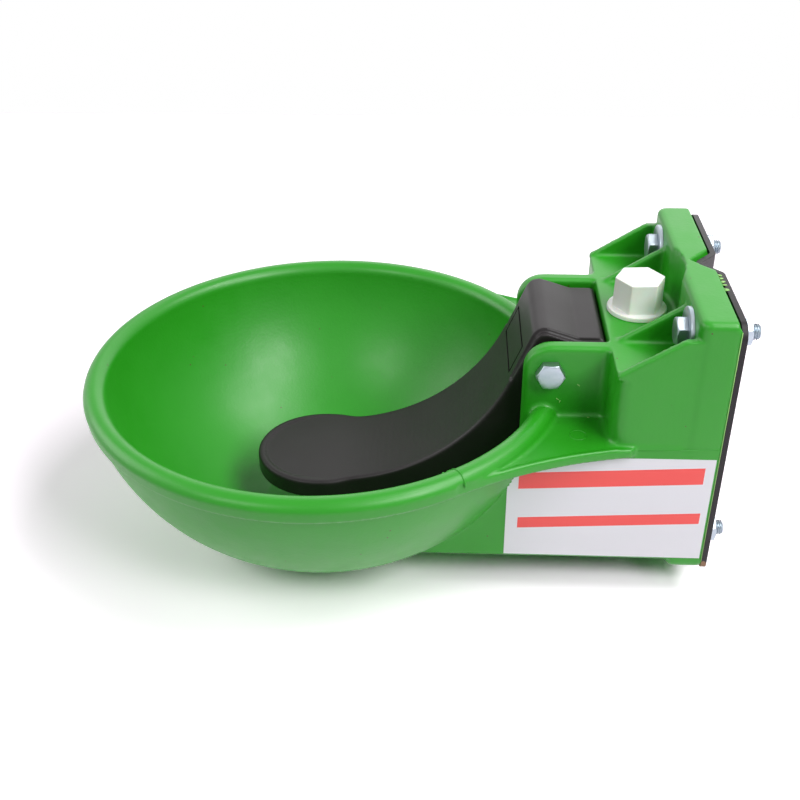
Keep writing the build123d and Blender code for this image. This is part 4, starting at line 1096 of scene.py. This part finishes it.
def tapped_bushing(name, node):
    """Round bushing with a pipe thread all through it, in the box of its CAD node."""
    low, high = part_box(node)
    height = high.z - low.z
    thread_top = height - TAPPED_SINK
    rows = thread_rows(TAPPED_SINK, thread_top, TAPPED_RADIUS, PIPE_PITCH, -PIPE_DEPTH, BUSHING_RADIUS)
    rows += [round_row(radius, level) for radius, level in (
        (TAPPED_RADIUS + PIPE_DEPTH, height), (BUSHING_RADIUS - BUSHING_EDGE, height),
        (BUSHING_RADIUS, height - BUSHING_EDGE), (BUSHING_RADIUS, BUSHING_EDGE),
        (BUSHING_RADIUS - BUSHING_EDGE, 0), (TAPPED_RADIUS + PIPE_DEPTH, 0),
    )]
    shape = bmesh.new()
    base = Vector(((low.x + high.x) / 2, (low.y + high.y) / 2, low.z))
    skin_rings(shape, axis_frame(base, Z, X), rows, closed=True)
    finished(name, to_mesh(shape), turned_brass, "housing", [node], METAL_SHARP)


tapped_bushing("tapped_bushing_top", "top_inlet_bushing")
tapped_bushing("tapped_bushing_bottom", "bottom_inlet_bushing")

# %% [markdown]
# ## The tongue
# The tongue is one thin black moulding. Along both sides of its hood the top surface steps down to a
# narrow ledge, the hood's back edge rolls over, and the steep face carries a plain framed panel. The
# steps are cut from a copy of the CAD shape, a fine voxel skin rounds all edges alike, and the thin
# groove round the panel is cut last, because the skin would blur it.

# %% Lines of the tongue
HOOD_BACK = Vector((-55, 44)) * MM
HOOD_STEP = Vector((-69, 44)) * MM
RIDGE = Vector((-90.02, 51)) * MM
FACE_FOOT = Vector((-102.6, 19.87)) * MM
HOOD_BEND = 7 * MM
BEND_STEPS = 8
TONGUE_SIDE = 33 * MM
LEDGE_INSIDE = 28.4 * MM
LEDGE_DROP = 1.9 * MM
LEDGE_FADE = 0.45
LEDGE_OVERRUN = Vector((3 * MM, 0))
CUT_ABOVE = 2 * MM
BACK_ROLL = 4 * MM
PANEL_FROM = 17 * MM
PANEL_TO = 34.5 * MM
PANEL_HALF = 22.5 * MM
PANEL_GROOVE = 1.3 * MM
PANEL_GROOVE_DEPTH = 1.0 * MM
OLD_RECESS_FROM = 7 * MM
OLD_RECESS_TO = 29 * MM
OLD_RECESS_HALF = 23 * MM
OLD_RECESS_FILL = 1.7 * MM


def bent_line(corners, radius):
    """Points and upward normals along a line in Y and Z, with its inner corners bent round."""
    runs = [(after - before).normalized() for before, after in zip(corners, corners[1:])]
    line = [(corners[0], Vector((runs[0].y, -runs[0].x)))]
    for corner, run, following in zip(corners[1:], runs, runs[1:]):
        heading = math.atan2(run.y, run.x)
        bend = math.atan2(run.cross(following), run.dot(following))
        signed = math.copysign(radius, bend)
        start = corner - run * radius * math.tan(abs(bend) / 2)
        first = Vector((math.sin(heading), -math.cos(heading)))
        for step in range(BEND_STEPS + 1):
            turned = heading + bend * step / BEND_STEPS
            normal = Vector((math.sin(turned), -math.cos(turned)))
            line.append((start + signed * (normal - first), normal))
    line.append((corners[-1], line[-1][1]))
    return line


def across(x, point):
    """Point of the tongue's middle line, moved sideways to x."""
    return Vector((x, point.x, point.y))


def ledge_cutter(shape, side):
    """Bar that lowers the edge of the hood, getting shallower down the steep face."""
    line = bent_line([HOOD_BACK + LEDGE_OVERRUN, HOOD_STEP, RIDGE, FACE_FOOT], HOOD_BEND)
    sections = []
    for place, (point, normal) in enumerate(line):
        drop = LEDGE_DROP * (LEDGE_FADE if place == len(line) - 1 else 1)
        low, high = point - drop * normal, point + CUT_ABOVE * normal
        sections.append([
            across(side * LEDGE_INSIDE, high), across(side * TONGUE_SIDE, high),
            across(side * TONGUE_SIDE, low), across(side * LEDGE_INSIDE, low),
        ])
    skin(shape, sections)


def face_point(x, down, lift):
    """Point on the steep face: across, down from the ridge and lifted off the surface."""
    run = (FACE_FOOT - RIDGE).normalized()
    normal = Vector((run.y, -run.x))
    return across(x, RIDGE + down * run + lift * normal)


def recess_fill(shape):
    """Flush block that closes the CAD panel's recess, which sits higher on the face than the real one."""
    skin(shape, [
        [face_point(side * OLD_RECESS_HALF, down, lift) for down, lift in (
            (OLD_RECESS_FROM, 0), (OLD_RECESS_TO, 0),
            (OLD_RECESS_TO, -OLD_RECESS_FILL), (OLD_RECESS_FROM, -OLD_RECESS_FILL),
        )]
        for side in (-1, 1)
    ])


def panel_groove(shape):
    """Closed frame with mitred corners that cuts the groove round the panel."""
    sections = []
    for side, down in ((-1, PANEL_FROM), (1, PANEL_FROM), (1, PANEL_TO), (-1, PANEL_TO)):
        inward = 1 if down == PANEL_FROM else -1
        sections.append([
            face_point(side * (PANEL_HALF - inset), down + inward * inset, lift)
            for inset, lift in (
                (0, CUT_ABOVE), (PANEL_GROOVE, CUT_ABOVE),
                (PANEL_GROOVE, -PANEL_GROOVE_DEPTH), (0, -PANEL_GROOVE_DEPTH),
            )
        ])
    skin(shape, sections, closed=True)


# %% The tongue
TONGUE_VOXEL = 0.6 * MM
TONGUE_KEPT = 0.25
TONGUE_SHARP = 40

cutter = bmesh.new()
for side in (-1, 1):
    ledge_cutter(cutter, side)
stepped = carved(to_mesh(cad_shape("tongue")), cutter)
cutter = bmesh.new()
straight_cove(cutter, across(-TONGUE_SIDE, HOOD_BACK), -Y, -Z, BACK_ROLL, 2 * TONGUE_SIDE * X)
rolled = carved(stepped, cutter)
shape = bmesh.new()
shape.from_mesh(rolled)
recess_fill(shape)
voxel = TONGUE_VOXEL
tongue_skin = with_modifiers(to_mesh(shape), [
    ("REMESH", {"mode": "VOXEL", "voxel_size": voxel}), RELAX, ("DECIMATE", {"ratio": TONGUE_KEPT}),
])
cutter = bmesh.new()
panel_groove(cutter)
tongue_mesh = carved(tongue_skin, cutter)
finished("moulded_tongue", tongue_mesh, black_polypropylene, "tongue",
         ["tongue"], TONGUE_SHARP)

# %% [markdown]
# ## The steel plate
# The plate is cut from 3 mm sheet, folded to a V groove down its middle and painted. Its corners are
# cut round, and the paint softens its sheared edges, so they catch a thin line of light.

# %% The plate
PLATE_HALF = 69 * MM
PLATE_TOP = 73.1 * MM
PLATE_LOW = -71.5 * MM
TOP_CORNER = 8 * MM
LOW_CORNER = 3 * MM
CORNER_CUT_FROM = -1 * MM
CORNER_CUT_LENGTH = 5 * MM
PAINTED_EDGE = 0.45 * MM
EDGE_ANGLE = math.radians(50)
FLAT_ANGLE = math.radians(1)
PLATE_SHARP = 20

cutter = bmesh.new()
for side in (-1, 1):
    for height, inward, radius in ((PLATE_TOP, -Z, TOP_CORNER), (PLATE_LOW, Z, LOW_CORNER)):
        corner = (side * PLATE_HALF, CORNER_CUT_FROM, height)
        straight_cove(cutter, corner, -side * X, inward, radius, CORNER_CUT_LENGTH * Y)
plate_mesh = with_modifiers(carved(to_mesh(cad_shape("mounting_plate")), cutter), [
    ("DECIMATE", {"decimate_type": "DISSOLVE", "angle_limit": FLAT_ANGLE}),
    ("BEVEL", {"width": PAINTED_EDGE, "segments": 2, "limit_method": "ANGLE", "angle_limit": EDGE_ANGLE}),
])
finished("painted_plate", plate_mesh, black_painted_steel, "housing",
         ["mounting_plate"], PLATE_SHARP)

# %% [markdown]
# ## Marks of the mould
# A moulding always shows how it was made. Where two streams of melt met round the bowl a fine weld
# ring crosses the bead, an ejector pin left a ring on the shelf, and the mould's halves left a parting
# line on each side wall. Thin flash squeezed out along the flange's back edge, and a few chips of it
# still cling to the ear. They are thin closed lines and slivers laid on the surface. The flash is pale
# green, so the line along the flange's back edge is partly flash and partly a painted highlight on that edge.

# %% Marks and flash
WELD_TURN = math.radians(36)
WELD_LINE = 0.45 * MM
WELD_STEP = 12
LUMP_TURNS = (33.2, 34.4, 35.0)
LUMP_ROLL = math.radians(125)
LUMP_SINK = 0.4
LUMP_SIZE = 0.8 * MM
EJECTOR_PLACE = Vector((59.8, -69.2, 6.2)) * MM
EJECTOR_RADIUS = 4.2 * MM
EJECTOR_STEPS = 24
FINE_LINE = 0.22 * MM
PARTING_FRONT = Vector((69.45, -42.0, 4.0)) * MM
PARTING_BACK = Vector((69.45, -0.6, 5.5)) * MM
FLASH_AND_HIGHLIGHT_LINE_LOW = -66 * MM
FLASH_AND_HIGHLIGHT_LINE_TOP = 71 * MM
FLASH_AND_HIGHLIGHT_LINE_PLACE = (69.45, -0.25)
# Pale green of the flash; on the line along the flange's back edge it is also a painted highlight.
FLASH_AND_EDGE_HIGHLIGHT_GREEN = "#8FC46C"
FLASH_SEED = 11
BURR_FROM = 15 * MM
BURR_TO = 34 * MM
BURR_COUNT = 5
BURR_THICKNESS = 0.35 * MM
BURR_ROOT = -1.6 * MM
BURR_WIDTHS = (1.6, 3.4)
BURR_REACHES = (1.0, 2.2)
BURR_LEANS = (-0.5, 0.8)
BURR_DROPS = (0.4, 0.9)
BURR_TIP = ((0.6, 0.2 * MM), (0.3, 0.1 * MM))
CHIP_PLACES = ((42.5, -78.8, 16.2), (42.5, -77.6, 14.7), (42.5, -68.8, 24.8), (44.0, -62.5, 6.5))
CHIP_LENGTH = 1.5 * MM
CHIP_WIDTH = 0.45 * MM
CHIP_ARCH = 0.3
CHIP_SLANTS = (-1, 1)
CHIP_RISES = (0.4, 1)


def fine_line(shape, path, upright, radius, closed=False):
    """Thin six-sided line along a path; upright is a direction that the path never follows."""
    count = len(path)
    sections = []
    for place, point in enumerate(path):
        after = path[(place + 1) % count] if closed or place + 1 < count else point
        before = path[place - 1] if closed or place else point
        side = (after - before).cross(upright).normalized()
        rise = side.cross(after - before).normalized()
        sections.append([
            point + radius * (math.cos(turn) * side + math.sin(turn) * rise)
            for turn in (math.pi / 3 * corner for corner in range(6))
        ])
    skin(shape, sections, closed)


def on_bead(turn, roll, lift=0.0):
    """Point on the bead: turn is the way round the bowl, roll the way round the bead's own section."""
    outward = Vector((math.cos(turn), math.sin(turn), 0))
    reach = BEAD_CENTRE[0] + (BEAD_RADIUS + lift) * math.cos(roll)
    return BOWL_CENTRE + reach * outward + (BEAD_CENTRE[1] + (BEAD_RADIUS + lift) * math.sin(roll)) * Z


marks = bmesh.new()
around = Vector((-math.sin(WELD_TURN), math.cos(WELD_TURN), 0))
ring_path = [on_bead(WELD_TURN, math.radians(roll)) for roll in range(0, 181, WELD_STEP)]
fine_line(marks, ring_path, around, WELD_LINE)
for turn in LUMP_TURNS:
    bmesh.ops.create_icosphere(
        marks, subdivisions=2, radius=LUMP_SIZE,
        matrix=Matrix.Translation(on_bead(math.radians(turn), LUMP_ROLL, -LUMP_SINK * LUMP_SIZE)),
    )
pin_turns = [2 * math.pi * step / EJECTOR_STEPS for step in range(EJECTOR_STEPS)]
fine_line(marks, [
    EJECTOR_PLACE + EJECTOR_RADIUS * (math.cos(turn) * X + math.sin(turn) * Y) for turn in pin_turns
], Z, FINE_LINE, closed=True)
for side in (-1, 1):
    mirror = Matrix.Diagonal((side, 1, 1))
    fine_line(marks, [mirror @ PARTING_FRONT, mirror @ PARTING_BACK], X, FINE_LINE)
finished("mould_marks", to_mesh(marks), green_polypropylene, "housing")

# Pale green flash material; on the line along the flange's back edge its paleness is a painted highlight.
flash_and_edge_highlight_polypropylene, tree, shader = start_material("flash_and_edge_highlight_polypropylene", {
    "Base Color": linear(FLASH_AND_EDGE_HIGHLIGHT_GREEN), "Roughness": 0.45, "IOR": POLYPROPYLENE_IOR,
})
random.seed(FLASH_SEED)
flash_and_edge_highlight = bmesh.new()
# The pale line along the flange's back edge: partly flash, partly a painted highlight on the edge.
for side in (-1, 1):
    edge = Vector((side * FLASH_AND_HIGHLIGHT_LINE_PLACE[0], FLASH_AND_HIGHLIGHT_LINE_PLACE[1], 0)) * MM
    fine_line(flash_and_edge_highlight, [edge + FLASH_AND_HIGHLIGHT_LINE_LOW * Z, edge + FLASH_AND_HIGHLIGHT_LINE_TOP * Z], X, FINE_LINE)
for burr in range(BURR_COUNT):
    start = BURR_FROM + (BURR_TO - BURR_FROM) * burr / BURR_COUNT
    root, reach = random.uniform(*BURR_WIDTHS) * MM, random.uniform(*BURR_REACHES) * MM
    lean = random.uniform(*BURR_LEANS) * MM
    tip = BURR_ROOT + reach
    outline = [(start, BURR_ROOT), (start + root, BURR_ROOT)]
    outline += [(start + share * root + lean, tip + extra) for share, extra in BURR_TIP]
    top = FLANGE_TOP - random.uniform(*BURR_DROPS) * MM
    upright_prism(flash_and_edge_highlight, outline, top - BURR_THICKNESS, top)
for place in CHIP_PLACES:
    centre = Vector(place) * MM
    on_ear = centre.z > SHELF_TOP + CHIP_LENGTH
    out = X if on_ear else Z
    run = Y
    if on_ear:
        run = Vector((0, random.uniform(*CHIP_SLANTS), random.uniform(*CHIP_RISES))).normalized()
    half = run * CHIP_LENGTH / 2
    ends = [centre - half, centre + CHIP_ARCH * CHIP_WIDTH * out, centre + half]
    fine_line(flash_and_edge_highlight, ends, out, CHIP_WIDTH / 2)
finished("mould_flash_and_edge_highlight", to_mesh(flash_and_edge_highlight), flash_and_edge_highlight_polypropylene, "housing")

# %% [markdown]
# ## Finishes for the CAD pieces
# Where the CAD shape is already right, the CAD node stays and only takes a better finish.

# %% Dress the CAD nodes
FINISHES = (
    (green_polypropylene, ["bowl_housing"]), (black_polypropylene, ["tongue"]),
    (black_painted_steel, ["mounting_plate"]), (white_nylon, ["blind_plug"]),
    (printed_vinyl, ["instruction_label"]), (zinc_plated_steel, [
        "fender_washers", "spring_washers", "mounting_bolts", "mounting_nuts", "pivot_bolt", "pivot_lock_nut",
    ]),
    (turned_brass, ["top_inlet_bushing", "bottom_inlet_bushing", "valve_body", "spring_retainer"]),
    (turned_stainless_steel, ["valve_stem", "valve_spring", "pivot_sleeve"]),
    (nitrile_rubber, ["plug_seal", "valve_gasket", "valve_disc_seal"]),
)
for material, names in FINISHES:
    for name in names:
        nodes[name].data.materials.clear()
        nodes[name].data.materials.append(material)
    print(material.name, "on", len(names), "nodes")
